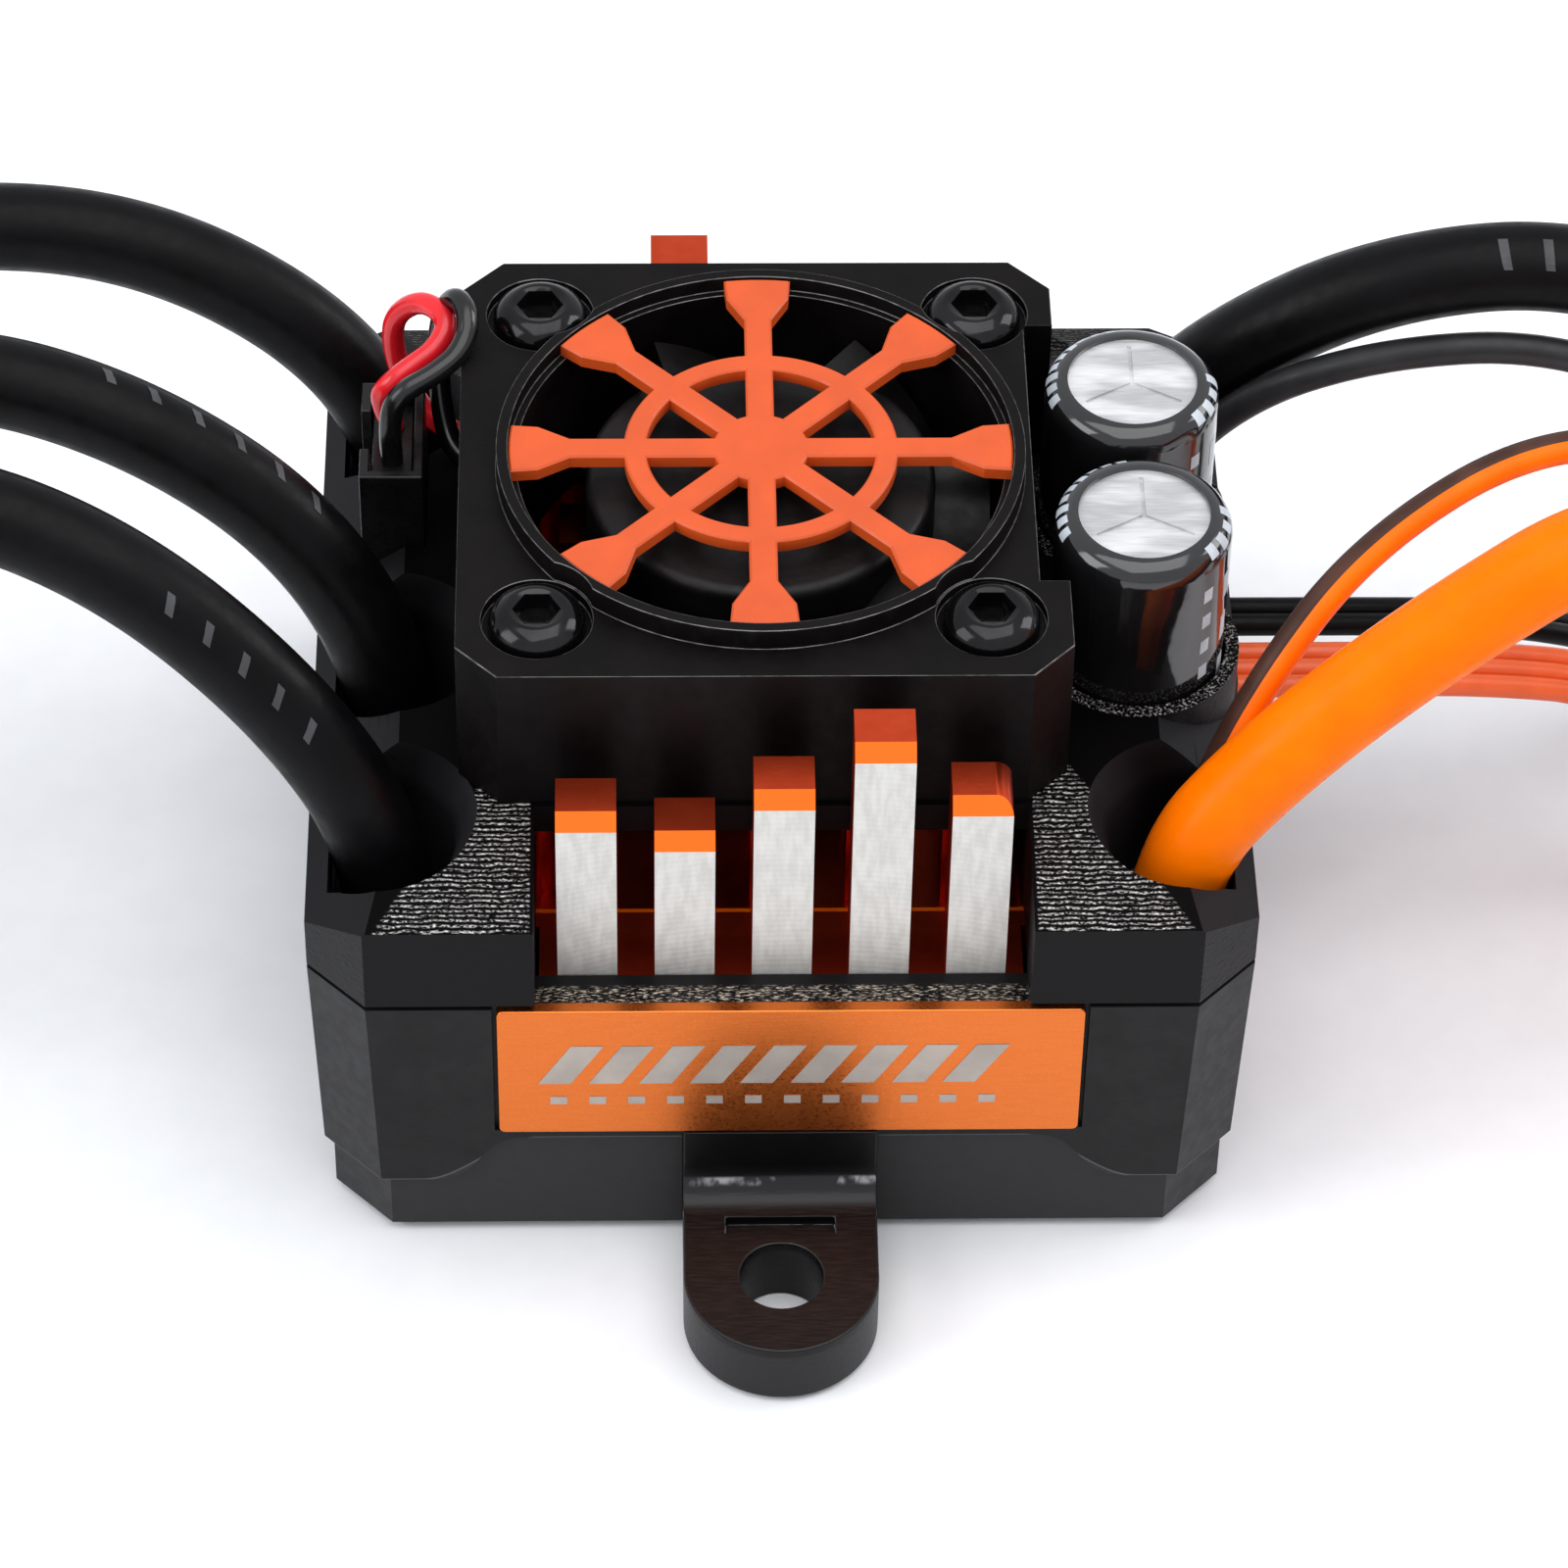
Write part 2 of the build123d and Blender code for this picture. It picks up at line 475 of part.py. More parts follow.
for name, (x, y) in CAPACITORS.items():
    with BuildPart() as can:
        with Locations((x, y, (CAN_BASE + CAN_TOP) / 2)):
            Cylinder(CAN_R, CAN_TOP - CAN_BASE)
        fillet(can.faces().sort_by(Axis.Z)[-1].edges(), 1.0)
        # the rolled groove over the rubber bung, and the vent scores on top
        with Locations((x, y, CAN_BASE + 2.2)):
            Torus(CAN_R + 0.35, 0.7, mode=Mode.SUBTRACT)
        for turn in (90, 210, 330):
            reach = 1.5
            with Locations(Location((x + reach * cos(radians(turn)), y + reach * sin(radians(turn)), CAN_TOP),
                                    (0, 0, turn))):
                Box(2 * reach, 0.22, 0.24, mode=Mode.SUBTRACT)
    finish(can, f"capacitor_can_{name}")

    with BuildPart() as sleeve:
        with Locations((x, y, (CAN_BASE + 0.3 + CAN_TOP + 0.25) / 2)):
            Cylinder(SLEEVE_R, CAN_TOP - CAN_BASE - 0.05)
        fillet(sleeve.faces().sort_by(Axis.Z)[-1].edges(), 1.2)
        with Locations((x, y, (CAN_BASE + CAN_TOP) / 2)):
            Cylinder(CAN_R - 1.0, 20, mode=Mode.SUBTRACT)
            Cylinder(CAN_R, CAN_TOP - CAN_BASE - 2.0, mode=Mode.SUBTRACT)
        add(can.part, mode=Mode.SUBTRACT)
    finish(sleeve, f"capacitor_sleeve_{name}")

# ---- fan ----------------------------------------------------------------------------------------
with BuildPart() as fan_frame:
    with BuildSketch(Plane.XY.offset(FAN_BASE)):
        with Locations((FAN_X, 0)):
            Rectangle(2 * FAN_HALF, 2 * FAN_HALF)
        chamfer(vertices(), FAN_CORNER)
    extrude(amount=FAN_TOP - FAN_BASE)
    with BuildSketch(Plane.XY.offset(FAN_TOP)):
        with Locations((FAN_X, 0)):
            Circle(RING_R)
            with GridLocations(2 * FAN_SCREW, 2 * FAN_SCREW, 2, 2):
                Circle(3.1, mode=Mode.SUBTRACT)
    extrude(amount=RING_TOP - FAN_TOP)
    # relief beside the capacitors
    with BuildSketch(Plane.XY.offset(FAN_BASE)):
        with Locations((13.75 + 5, 0.9)):
            Rectangle(10, 20.2)
    extrude(amount=FAN_TOP - FAN_BASE + 2, mode=Mode.SUBTRACT)
    # air bore and the seat of the guard
    with Locations((FAN_X, 0, FAN_BASE + 3)):
        Cylinder(BORE_R, 40, mode=Mode.SUBTRACT)
    with Locations((FAN_X, 0, GUARD_BASE + 5)):
        Cylinder(SEAT_R, 10, mode=Mode.SUBTRACT)
    # motor seat on four struts
    with BuildSketch(Plane.XY.offset(FAN_BASE)):
        with Locations((FAN_X, 0)):
            Circle(9.3)
            with PolarLocations(BORE_R / 2 + 1, 4, start_angle=45):
                Rectangle(BORE_R, 2.0)
    extrude(amount=1.2)
    with Locations((FAN_X, 0, FAN_BASE)):
        Cylinder(2.42, 10, mode=Mode.SUBTRACT)
    # screw holes with a shallow recess for the heads
    with Locations((FAN_X, 0, FAN_TOP)):
        with GridLocations(2 * FAN_SCREW, 2 * FAN_SCREW, 2, 2):
            Cylinder(1.55, 40, mode=Mode.SUBTRACT)
            Cylinder(2.95, 1.2, mode=Mode.SUBTRACT)
    # outlet for the fan's two leads, low in the left wall
    with Locations((FAN_X - FAN_HALF, 9.2, FAN_BASE + 1.2)):
        Box(8.4, 4.8, 2.4, mode=Mode.SUBTRACT)
finish(fan_frame, "fan_frame")

with BuildPart() as fan_guard:
    # plain finger guard: a hub disc, one ring and eight straight spokes that widen at the seat
    with BuildSketch(Plane.XY.offset(GUARD_BASE)):
        with Locations((FAN_X, 0)):
            with PolarLocations(SEAT_R / 2, 8):
                Rectangle(SEAT_R, 1.5)
            with PolarLocations(0, 8):
                Polygon((10.2, -0.7), (12.0, -1.7), (14.2, -1.9), (14.2, 1.9), (12.0, 1.7), (10.2, 0.7),
                        align=None)
            Circle(SEAT_R - 0.03, mode=Mode.INTERSECT)
            Circle(7.4)
            Circle(6.2, mode=Mode.SUBTRACT)
            with PolarLocations(SEAT_R / 4 + 1, 8):
                Rectangle(SEAT_R / 2, 1.5)
            Circle(2.6)
    extrude(amount=GUARD_TOP - GUARD_BASE)
    chamfer(fan_guard.faces().sort_by(Axis.Z)[-1].edges(), 0.12)
finish(fan_guard, "fan_guard")

ROTOR_BASE, ROTOR_TOP, CUP_R, CUP_BORE = 28.6, 34.6, 9.5, 8.3
BLADES = 7
with BuildPart() as fan_blade:
    # one cambered blade, drawn on a plane square to its radius and extruded outwards
    with BuildSketch(Plane((8.9, 0, 31.3), x_dir=(0, 1, 0), z_dir=(1, 0, 0))):
        with BuildLine():
            ThreePointArc((-3.0, -2.3), (-0.6, 0.5), (3.0, 2.4))
            Line((3.0, 2.4), (3.0, 1.7))
            ThreePointArc((3.0, 1.7), (-0.2, -0.1), (-2.4, -2.3))
            Line((-2.4, -2.3), (-3.0, -2.3))
        make_face()
    extrude(amount=12.5 - 8.9)

with BuildPart() as fan_rotor:
    with Locations((0, 0, (ROTOR_BASE + ROTOR_TOP) / 2)):
        Cylinder(CUP_R, ROTOR_TOP - ROTOR_BASE)
    fillet(fan_rotor.faces().sort_by(Axis.Z)[-1].edges(), 0.6)
    with PolarLocations(0, BLADES):
        add(fan_blade.part)
    with Locations((0, 0, ROTOR_BASE + 2.5)):
        Cylinder(CUP_BORE, 5.0, mode=Mode.SUBTRACT)
    with Locations((0, 0, 33.0)):
        Cylinder(2.2, 1.6)
    with Locations((0, 0, 31.5)):
        Cylinder(1.0, 5.0, mode=Mode.SUBTRACT)
with BuildPart() as placed_rotor:
    add(fan_rotor.part.translate((FAN_X, 0, 0)))
finish(placed_rotor, "fan_rotor")

with BuildPart() as fan_magnet:
    with BuildSketch(Plane.XY.offset(28.8)):
        with Locations((FAN_X, 0)):
            Circle(CUP_BORE)
            Circle(7.3, mode=Mode.SUBTRACT)
    extrude(amount=4.6)
finish(fan_magnet, "fan_magnet")

with BuildPart() as fan_shaft:
    with Locations((FAN_X, 0, (26.4 + 34.0) / 2)):
        Cylinder(1.0, 34.0 - 26.4)
    chamfer(fan_shaft.faces().sort_by(Axis.Z)[0].edges(), 0.2)
finish(fan_shaft, "fan_shaft")

with BuildPart() as fan_bearing:
    with BuildSketch(Plane.XY.offset(26.0)):
        with Locations((FAN_X, 0)):
            Circle(2.4)
    extrude(amount=6.0)
    with BuildSketch(Plane.XY.offset(26.3)):
        with Locations((FAN_X, 0)):
            Circle(1.03)
    extrude(amount=6.0, mode=Mode.SUBTRACT)
finish(fan_bearing, "fan_bearing")

with BuildPart() as fan_board:
    with BuildSketch(Plane.XY.offset(FAN_BASE + 1.2)):
        with Locations((FAN_X, 0)):
            Circle(8.6)
            Circle(2.6, mode=Mode.SUBTRACT)
    extrude(amount=0.8)
finish(fan_board, "fan_board")

with BuildPart() as fan_stator:
    with BuildSketch(Plane.XY.offset(27.8)):
        with Locations((FAN_X, 0)):
            Circle(6.9)
            Circle(5.7, mode=Mode.SUBTRACT)
            with PolarLocations(6.3, 4, start_angle=45):
                Rectangle(2.6, 1.6, mode=Mode.SUBTRACT)
            Circle(4.0)
            with PolarLocations(4.6, 4):
                Rectangle(3.4, 2.4)
            Circle(2.45, mode=Mode.SUBTRACT)
    extrude(amount=4.0)
finish(fan_stator, "fan_stator")

with BuildPart() as fan_screws:
    # button heads with a hexagon socket
    with Locations((FAN_X, 0, 0)):
        with GridLocations(2 * FAN_SCREW, 2 * FAN_SCREW, 2, 2):
            with Locations((0, 0, 27.0)):
                Cylinder(1.5, 16.0)
            with Locations((0, 0, FAN_TOP + 0.15)):
                Cylinder(2.6, 1.5)
    fillet(fan_screws.faces().group_by(Axis.Z)[-1].edges(), 0.8)
    with BuildSketch(Plane.XY.offset(FAN_TOP + 0.9)):
        with Locations((FAN_X, 0)):
            with GridLocations(2 * FAN_SCREW, 2 * FAN_SCREW, 2, 2):
                RegularPolygon(1.25, 6)
    extrude(amount=-1.0, mode=Mode.SUBTRACT)
finish(fan_screws, "fan_screws")

with BuildPart() as fan_socket:
    with BuildSketch(Plane.XY.offset(SOCKET_BASE)):
        with Locations((SOCKET_X, SOCKET_Y)):
            Rectangle(SOCKET_WIDE, SOCKET_DEEP)
    extrude(amount=SOCKET_TALL)
    with BuildSketch(Plane.XY.offset(24.7)):
        with Locations((SOCKET_X, SOCKET_Y)):
            Rectangle(2.4, 6.6)
    extrude(amount=8.0, mode=Mode.SUBTRACT)
    # key slot in the left wall, and the pin holes in the floor
    with BuildSketch(Plane.XY.offset(26.5)):
        with Locations((SOCKET_X - 1.8, SOCKET_Y)):
            Rectangle(1.6, 3.0)
    extrude(amount=6.0, mode=Mode.SUBTRACT)
    with BuildSketch(Plane.XY.offset(23.0)):
        with Locations(*SOCKET_PINS):
            Rectangle(0.52, 0.52)
    extrude(amount=3.0, mode=Mode.SUBTRACT)
finish(fan_socket, "fan_socket")

with BuildPart() as socket_pins:
    with BuildSketch(Plane.XY.offset(BOARD_TOP)):
        with Locations(*SOCKET_PINS):
            Rectangle(0.5, 0.5)
    extrude(amount=28.5 - BOARD_TOP)
finish(socket_pins, "socket_pins")

with BuildPart() as fan_plug:
    with BuildSketch(Plane.XY.offset(PLUG_BASE)):
        with Locations((SOCKET_X, SOCKET_Y)):
            Rectangle(2.2, 6.3)
    extrude(amount=PLUG_TALL)
    with BuildSketch(Plane.XY.offset(24)):
        with Locations(*SOCKET_PINS):
            Rectangle(0.6, 0.6)
    extrude(amount=4.7, mode=Mode.SUBTRACT)
finish(fan_plug, "fan_plug")
PLUG_TOP = PLUG_BASE + PLUG_TALL


# ---- leads --------------------------------------------------------------------------------------
def lead_radii(points):
    """The arc at each corner of a route: as large as its two runs allow."""
    radii = []
    for before, here, after in zip(points, points[1:], points[2:]):
        a, b = Vector(here) - Vector(before), Vector(after) - Vector(here)
        radii.append(0.45 * min(a.length, b.length) / tan(radians(a.get_angle(b)) / 2))
    return radii


def make_lead(name, points, diameter):
    """A round lead along straight runs joined by tangent arcs."""
    radii = lead_radii(points)
    with BuildPart() as lead:
        with BuildLine() as path:
            FilletPolyline(*points, radius=radii)
        start = Vector(points[1]) - Vector(points[0])
        with BuildSketch(Plane(points[0], z_dir=start)):
            Circle(diameter / 2)
        sweep()
    finish(lead, name)
    length = path.wire().length
    plain = pi * diameter ** 2 / 4 * length
    turns = ", ".join(f"{r:.1f}" for r in radii)
    print(f"{name}: length {length:.1f}, volume ratio {lead.part.volume / plain:.4f}, radii {turns}")


# The fan's leads rise from the plug, lean to the right, turn over and go down behind the socket into
# the fan's wall.
FAN_LEADS = {
    "fan_lead_red": [
        (SOCKET_X, 8.7, PLUG_TOP), (SOCKET_X, 8.7, 32.3), (-19.9, 9.5, 35.3), (-19.0, 11.0, 37.7),
        (-19.6, 13.0, 37.9), (-20.8, 14.2, 35.5), (-21.2, 14.3, 32.4), (-20.9, 13.9, 29.4),
        (-19.7, 12.3, 27.4), (-17.9, 10.8, 26.9), (-15.6, 10.4, 26.9)],
    "fan_lead_black": [
        (SOCKET_X, 6.0, PLUG_TOP), (SOCKET_X, 6.0, 32.5), (-19.4, 7.1, 35.8), (-17.7, 8.9, 38.0),
        (-17.5, 11.1, 38.1), (-18.3, 12.6, 36.1), (-18.6, 12.7, 33.2), (-18.4, 11.4, 30.5),
        (-18.3, 9.6, 28.6), (-17.5, 8.3, 27.2), (-15.6, 8.1, 26.9)],
}
for name, points in FAN_LEADS.items():
    make_lead(name, points, FAN_LEAD_D)

# The motor leads rise out of the left wells, arch over and come down to the surface.
MOTOR_LEADS = {
    "front": [(-LEAD_X, -17.1, POST_TOP), (-LEAD_X, -17.1, 22.8), (-25.8, -14.5, 32.5), (-35, -11.3, 39.4),
              (-45.5, -9.4, 41.3), (-56, -9, 37.2), (-62.6, -9.6, 28.0), (-66.2, -10.3, 17.6),
              (-71.8, -11, 8.0), (-80.3, -11.4, PLUG_Z), (PLUG_X, -11.4, PLUG_Z)],
    "middle": [(-LEAD_X, -4, POST_TOP), (-LEAD_X, -4, 22.8), (-25.6, -2, 32.0), (-34.6, 1, 38.2),
               (-45, 3.2, 39.8), (-55.4, 4.4, 35.8), (-62.2, 4.8, 27.2), (-66.2, 5, 17.2),
               (-72, 5, 7.9), (-80.4, 5, PLUG_Z), (PLUG_X, 5, PLUG_Z)],
    "rear": [(-LEAD_X, 15.8, POST_TOP), (-LEAD_X, 15.8, 22.0), (-25.4, 17.2, 30.6), (-34.6, 18.8, 35.6),
             (-45, 19.9, 36.6), (-55.2, 20.7, 32.9), (-62.4, 21, 25.4), (-67.2, 21.2, 16.6),
             (-73, 21.4, 7.4), (-80.8, 21.4, PLUG_Z), (PLUG_X, 21.4, PLUG_Z)],
}
for name, points in MOTOR_LEADS.items():
    make_lead(f"motor_lead_{name}", points, LEAD_D)
    end_y = points[-1][1]
    with BuildPart() as motor_plug:
        # solder cup, then a bullet with a round nose
        for start, radius, length in ((0, 2.5, 3.5), (3.0, 2.0, 9.2)):
            with BuildSketch(Plane((PLUG_X - start, end_y, PLUG_Z), z_dir=(-1, 0, 0))):
                Circle(radius)
            extrude(amount=length)
        fillet(motor_plug.faces().sort_by(Axis.X)[0].edges(), 1.2)
    finish(motor_plug, f"motor_plug_{name}")

with BuildPart() as plug_sleeves:
    # shrunk sleeves over the solder cups and the ends of the leads
    for points in MOTOR_LEADS.values():
        with BuildSketch(Plane((PLUG_X - 2.5, points[-1][1], PLUG_Z), z_dir=(1, 0, 0))):
            Circle(PLUG_Z)
            Circle(LEAD_D / 2, mode=Mode.SUBTRACT)
        extrude(amount=7.0)
finish(plug_sleeves, "plug_sleeves")

# The battery leads and two thin leads arch to the right and end in one connector.
BATTERY_LEADS = {
    "battery_lead_black": ([
        (LEAD_X, 16.9, POST_TOP), (LEAD_X, 16.9, 21.9), (25.2, 15.8, 30.8), (34, 14.5, 35.9),
        (44.5, 12.8, 37.6), (54.6, 10.8, 34.0), (61.4, 8.8, 25.8), (65.6, 7, 16.2),
        (72.6, 5.2, 7.4), (CONNECTOR_X, CONTACT_Y, CONTACT_Z)], LEAD_D),
    "battery_lead_orange": ([
        (LEAD_X, -18.2, POST_TOP), (LEAD_X, -18.2, 22.6), (25.6, -15.7, 32.2), (34.2, -13.2, 38.8),
        (44.4, -11.8, 41.2), (54.6, -10.2, 37.4), (61.6, -8.4, 28.8), (65.8, -6.6, 18.6),
        (72.2, -5, 8.8), (CONNECTOR_X, -CONTACT_Y, CONTACT_Z)], LEAD_D),
    "thin_lead_black": ([
        (21.5, 13.5, BOARD_TOP), (21.5, 13.5, 20.2), (26.0, 12.4, 28.6), (33.6, 11.2, 32.6),
        (43.2, 9.6, 33.8), (52.6, 7.4, 30.2), (59.6, 5, 22.8), (64.6, 3.2, 14.6),
        (73, 1.4, 8.4), (CONNECTOR_X, 1.2, 6.6)], THIN_D),
    "thin_lead_orange": ([
        (21.7, -14.8, BOARD_TOP), (21.7, -14.8, 21.0), (25.2, -12.2, 30.6), (31, -8.0, 36.8),
        (40.6, -4.0, 39.8), (51, -2.4, 37.0), (59.6, -1.6, 29.4), (65.2, -1.2, 19.2),
        (72.8, -1, 10.6), (CONNECTOR_X, -1.2, 6.6)], THIN_D),
}
for name, (points, diameter) in BATTERY_LEADS.items():
    make_lead(name, points, diameter)

with BuildPart() as battery_connector:
    with BuildSketch(Plane((CONNECTOR_X, 0, CONNECTOR_Z / 2), x_dir=(0, 1, 0), z_dir=(1, 0, 0))):
        RectangleRounded(2 * CONNECTOR_Y, CONNECTOR_Z, 1.6)
    extrude(amount=CONNECTOR_LENGTH)
    # grip grooves across the top and the bottom, and the two contact bores
    with Locations((CONNECTOR_X + 6, 0, CONNECTOR_Z), (CONNECTOR_X + 8, 0, CONNECTOR_Z),
                   (CONNECTOR_X + 10, 0, CONNECTOR_Z)):
        Box(0.8, 11.0, 0.8, mode=Mode.SUBTRACT)
    with BuildSketch(Plane((CONNECTOR_X + 2, 0, CONTACT_Z), x_dir=(0, 1, 0), z_dir=(1, 0, 0))):
        with Locations(*both_ends(CONTACT_Y, 0)):
            Circle(2.4)
    extrude(amount=CONNECTOR_LENGTH, mode=Mode.SUBTRACT)
finish(battery_connector, "battery_connector")

with BuildPart() as battery_contacts:
    with BuildSketch(Plane((CONNECTOR_X + 2, 0, CONTACT_Z), x_dir=(0, 1, 0), z_dir=(1, 0, 0))):
        with Locations(*both_ends(CONTACT_Y, 0)):
            Circle(2.4)
    extrude(amount=CONNECTOR_LENGTH - 3.0)
    with BuildSketch(Plane((CONNECTOR_X + 6, 0, CONTACT_Z), x_dir=(0, 1, 0), z_dir=(1, 0, 0))):
        with Locations(*both_ends(CONTACT_Y, 0)):
            Circle(1.75)
    extrude(amount=CONNECTOR_LENGTH, mode=Mode.SUBTRACT)
finish(battery_contacts, "battery_contacts")

# The flat leads leave through the grommet, sink to the surface and turn back to the plug and the switch.
RECEIVER_Z, SWITCH_Z = RECEIVER_D / 2, SWITCH_D / 2
make_lead("receiver_lead", [
    (22.9, 2.2, 17.1), (32, 2.2, 17.1), (41.6, 1.4, 14.2), (49.6, -2.4, 8.6), (56.6, -7.6, 3.4),
    (64, -12.8, RECEIVER_Z), (73, -16.2, RECEIVER_Z), (82, -16.6, RECEIVER_Z), (88, -17.2, RECEIVER_Z),
    (92.5, -20.5, RECEIVER_Z), (94.2, -25.8, RECEIVER_Z), (92.5, -31.1, RECEIVER_Z), (88, -34.4, RECEIVER_Z),
    (81.5, -34.6, RECEIVER_Z), (73.5, -33.6, RECEIVER_Z), (66.5, -32.6, RECEIVER_Z)], RECEIVER_D)
make_lead("switch_lead", [
    (22.9, 6.5, 17.1), (32.4, 6.5, 17.1), (42, 9.0, 14.6), (50.2, 12.6, 9.0), (57.8, 16.8, 3.4),
    (66, 20.4, SWITCH_Z), (75.2, 20.6, SWITCH_Z), (80.6, 18.6, SWITCH_Z), (86, 19, SWITCH_Z),
    (89.4, 21.5, SWITCH_Z), (90.7, 25.5, SWITCH_Z), (89.4, 29.5, SWITCH_Z), (86, 32, SWITCH_Z),
    (81.4, 32.5, SWITCH_Z), (77, 32.3, SWITCH_Z)], SWITCH_D)

RECEIVER_PLUG = Plane((66.5, -32.6, 1.3), x_dir=(-1, -7, 0), z_dir=(-7, 1, 0))
with BuildPart() as receiver_plug:
    # servo plug with three contact slots, in line with the end of its lead
    with BuildSketch(RECEIVER_PLUG):
        RectangleRounded(7.6, 2.6, 0.3)
    extrude(amount=14.0)
    with BuildSketch(RECEIVER_PLUG.offset(6)):
        with GridLocations(2.54, 1, 3, 1):
            Rectangle(0.9, 0.9)
    extrude(amount=9.0, mode=Mode.SUBTRACT)
finish(receiver_plug, "receiver_plug")

SWITCH_X, SWITCH_Y = 70.0, 32.3
with BuildPart() as switch_housing:
    with BuildSketch():
        with Locations((SWITCH_X, SWITCH_Y)):
            RectangleRounded(14.0, 7.6, 0.8)
    extrude(amount=6.0)
    chamfer(switch_housing.faces().sort_by(Axis.Z)[-1].edges(), 0.4)
    with Locations((SWITCH_X, SWITCH_Y, 6.0)):
        Box(7.2, 3.4, 3.2, mode=Mode.SUBTRACT)
finish(switch_housing, "switch_housing")

with BuildPart() as switch_slider:
    with Locations((SWITCH_X - SWITCH_TRAVEL / 2, SWITCH_Y, 5.9)):
        Box(3.6, 3.2, 2.8)
    with Locations((SWITCH_X - SWITCH_TRAVEL / 2, SWITCH_Y, 7.7)):
        Box(3.0, 2.6, 2.2)
    # finger ribs
    for step in (-1, 0, 1):
        with Locations((SWITCH_X - SWITCH_TRAVEL / 2 + step, SWITCH_Y, 8.8)):
            Box(0.4, 3.0, 0.5, mode=Mode.SUBTRACT)
finish(switch_slider, "switch_slider")
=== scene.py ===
"""Looks of the electronic speed controller: materials on the CAD pieces, smooth leads, small printed
and moulded detail, floor, lights and camera.  Metres, in the CAD frame."""
from math import cos, pi, radians, sin

import bmesh
import bpy
from mathutils import Matrix, Vector


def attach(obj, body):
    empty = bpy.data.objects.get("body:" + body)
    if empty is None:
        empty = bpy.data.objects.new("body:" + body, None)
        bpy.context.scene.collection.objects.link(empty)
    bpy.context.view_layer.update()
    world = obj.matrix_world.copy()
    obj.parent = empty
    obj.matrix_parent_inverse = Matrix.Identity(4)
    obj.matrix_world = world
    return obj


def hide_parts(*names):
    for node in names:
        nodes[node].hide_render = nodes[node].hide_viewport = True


MM = 0.001
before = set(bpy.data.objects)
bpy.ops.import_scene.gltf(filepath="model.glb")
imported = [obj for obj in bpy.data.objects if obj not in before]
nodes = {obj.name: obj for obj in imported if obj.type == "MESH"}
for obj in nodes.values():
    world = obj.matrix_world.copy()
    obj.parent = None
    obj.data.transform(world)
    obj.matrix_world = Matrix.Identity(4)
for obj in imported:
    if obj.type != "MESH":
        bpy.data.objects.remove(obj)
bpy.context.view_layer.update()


# ---- material nodes -----------------------------------------------------------------------------
class Finish:
    """One material: its nodes are added through short calls, in millimetres of the CAD frame."""

    def __init__(self, name, metallic=0.0, specular=0.5, coat=0.0, coat_roughness=0.1):
        self.material = bpy.data.materials.new(name)
        self.material.use_nodes = True
        self.tree = self.material.node_tree
        self.shader = self.tree.nodes["Principled BSDF"]
        self.shader.inputs["Metallic"].default_value = metallic
        self.shader.inputs["Specular IOR Level"].default_value = specular
        self.shader.inputs["Coat Weight"].default_value = coat
        self.shader.inputs["Coat Roughness"].default_value = coat_roughness
        source = self.tree.nodes.new("ShaderNodeTexCoord")
        self.place = self.add("VectorMath", {0: source.outputs["Object"], "Scale": 1 / MM},
                              operation="SCALE")
        self.normal = source.outputs["Normal"]

    def add(self, kind, inputs, output=0, **settings):
        node = self.tree.nodes.new("ShaderNode" + kind)
        for key, value in settings.items():
            setattr(node, key, value)
        for key, value in inputs.items():
            self.feed(node.inputs[key], value)
        return node.outputs[output]

    def feed(self, socket, value):
        if isinstance(value, bpy.types.NodeSocket):
            self.tree.links.new(value, socket)
        else:
            socket.default_value = value

    def set(self, socket, value):
        self.feed(self.shader.inputs[socket], value)
        return self

    def maths(self, operation, a, b=0.0):
        return self.add("Math", {0: a, 1: b}, operation=operation)

    def axis(self, vector, index):
        return self.add("SeparateXYZ", {0: vector}, output=index)

    def size(self, vector, index):
        """One axis without its sign, for what is the same on both sides."""
        return self.maths("ABSOLUTE", self.axis(vector, index))

    def total(self, *weighted):
        """The sum of values, each times its own weight."""
        parts = [self.maths("MULTIPLY", value, weight) for value, weight in weighted]
        result = parts[0]
        for part in parts[1:]:
            result = self.maths("ADD", result, part)
        return result

    def span(self, value, low, high, start=0.0, end=1.0):
        """value going from low to high becomes start to end, smoothly and clamped."""
        return self.add("MapRange", {0: value, 1: low, 2: high, 3: start, 4: end},
                        interpolation_type="SMOOTHSTEP")

    def past(self, value, place, soft):
        """0 below a place and 1 above it."""
        return self.span(value, place - soft, place + soft)

    def short_of(self, value, place, soft):
        """1 below a place and 0 above it."""
        return self.span(value, place + soft, place - soft)

    def both(self, *masks):
        result = masks[0]
        for mask in masks[1:]:
            result = self.maths("MULTIPLY", result, mask)
        return result

    def noise(self, scale, stretch=(1, 1, 1), detail=3.0, warp=0.0, roughness=0.5):
        place = self.add("VectorMath", {0: self.place, 1: stretch}, operation="MULTIPLY")
        return self.add("TexNoise", {"Vector": place, "Scale": scale, "Detail": detail,
                                     "Distortion": warp, "Roughness": roughness})

    def mix(self, share, one, other):
        return self.add("Mix", {0: share, 6: one, 7: other}, output=2, data_type="RGBA")

    def bump(self, height, depth_mm):
        return self.add("Bump", {"Height": height, "Distance": depth_mm * MM, "Strength": 1.0})


def rgb(red, green, blue):
    return (red, green, blue, 1.0)


def grey(level):
    return rgb(level, level, level)


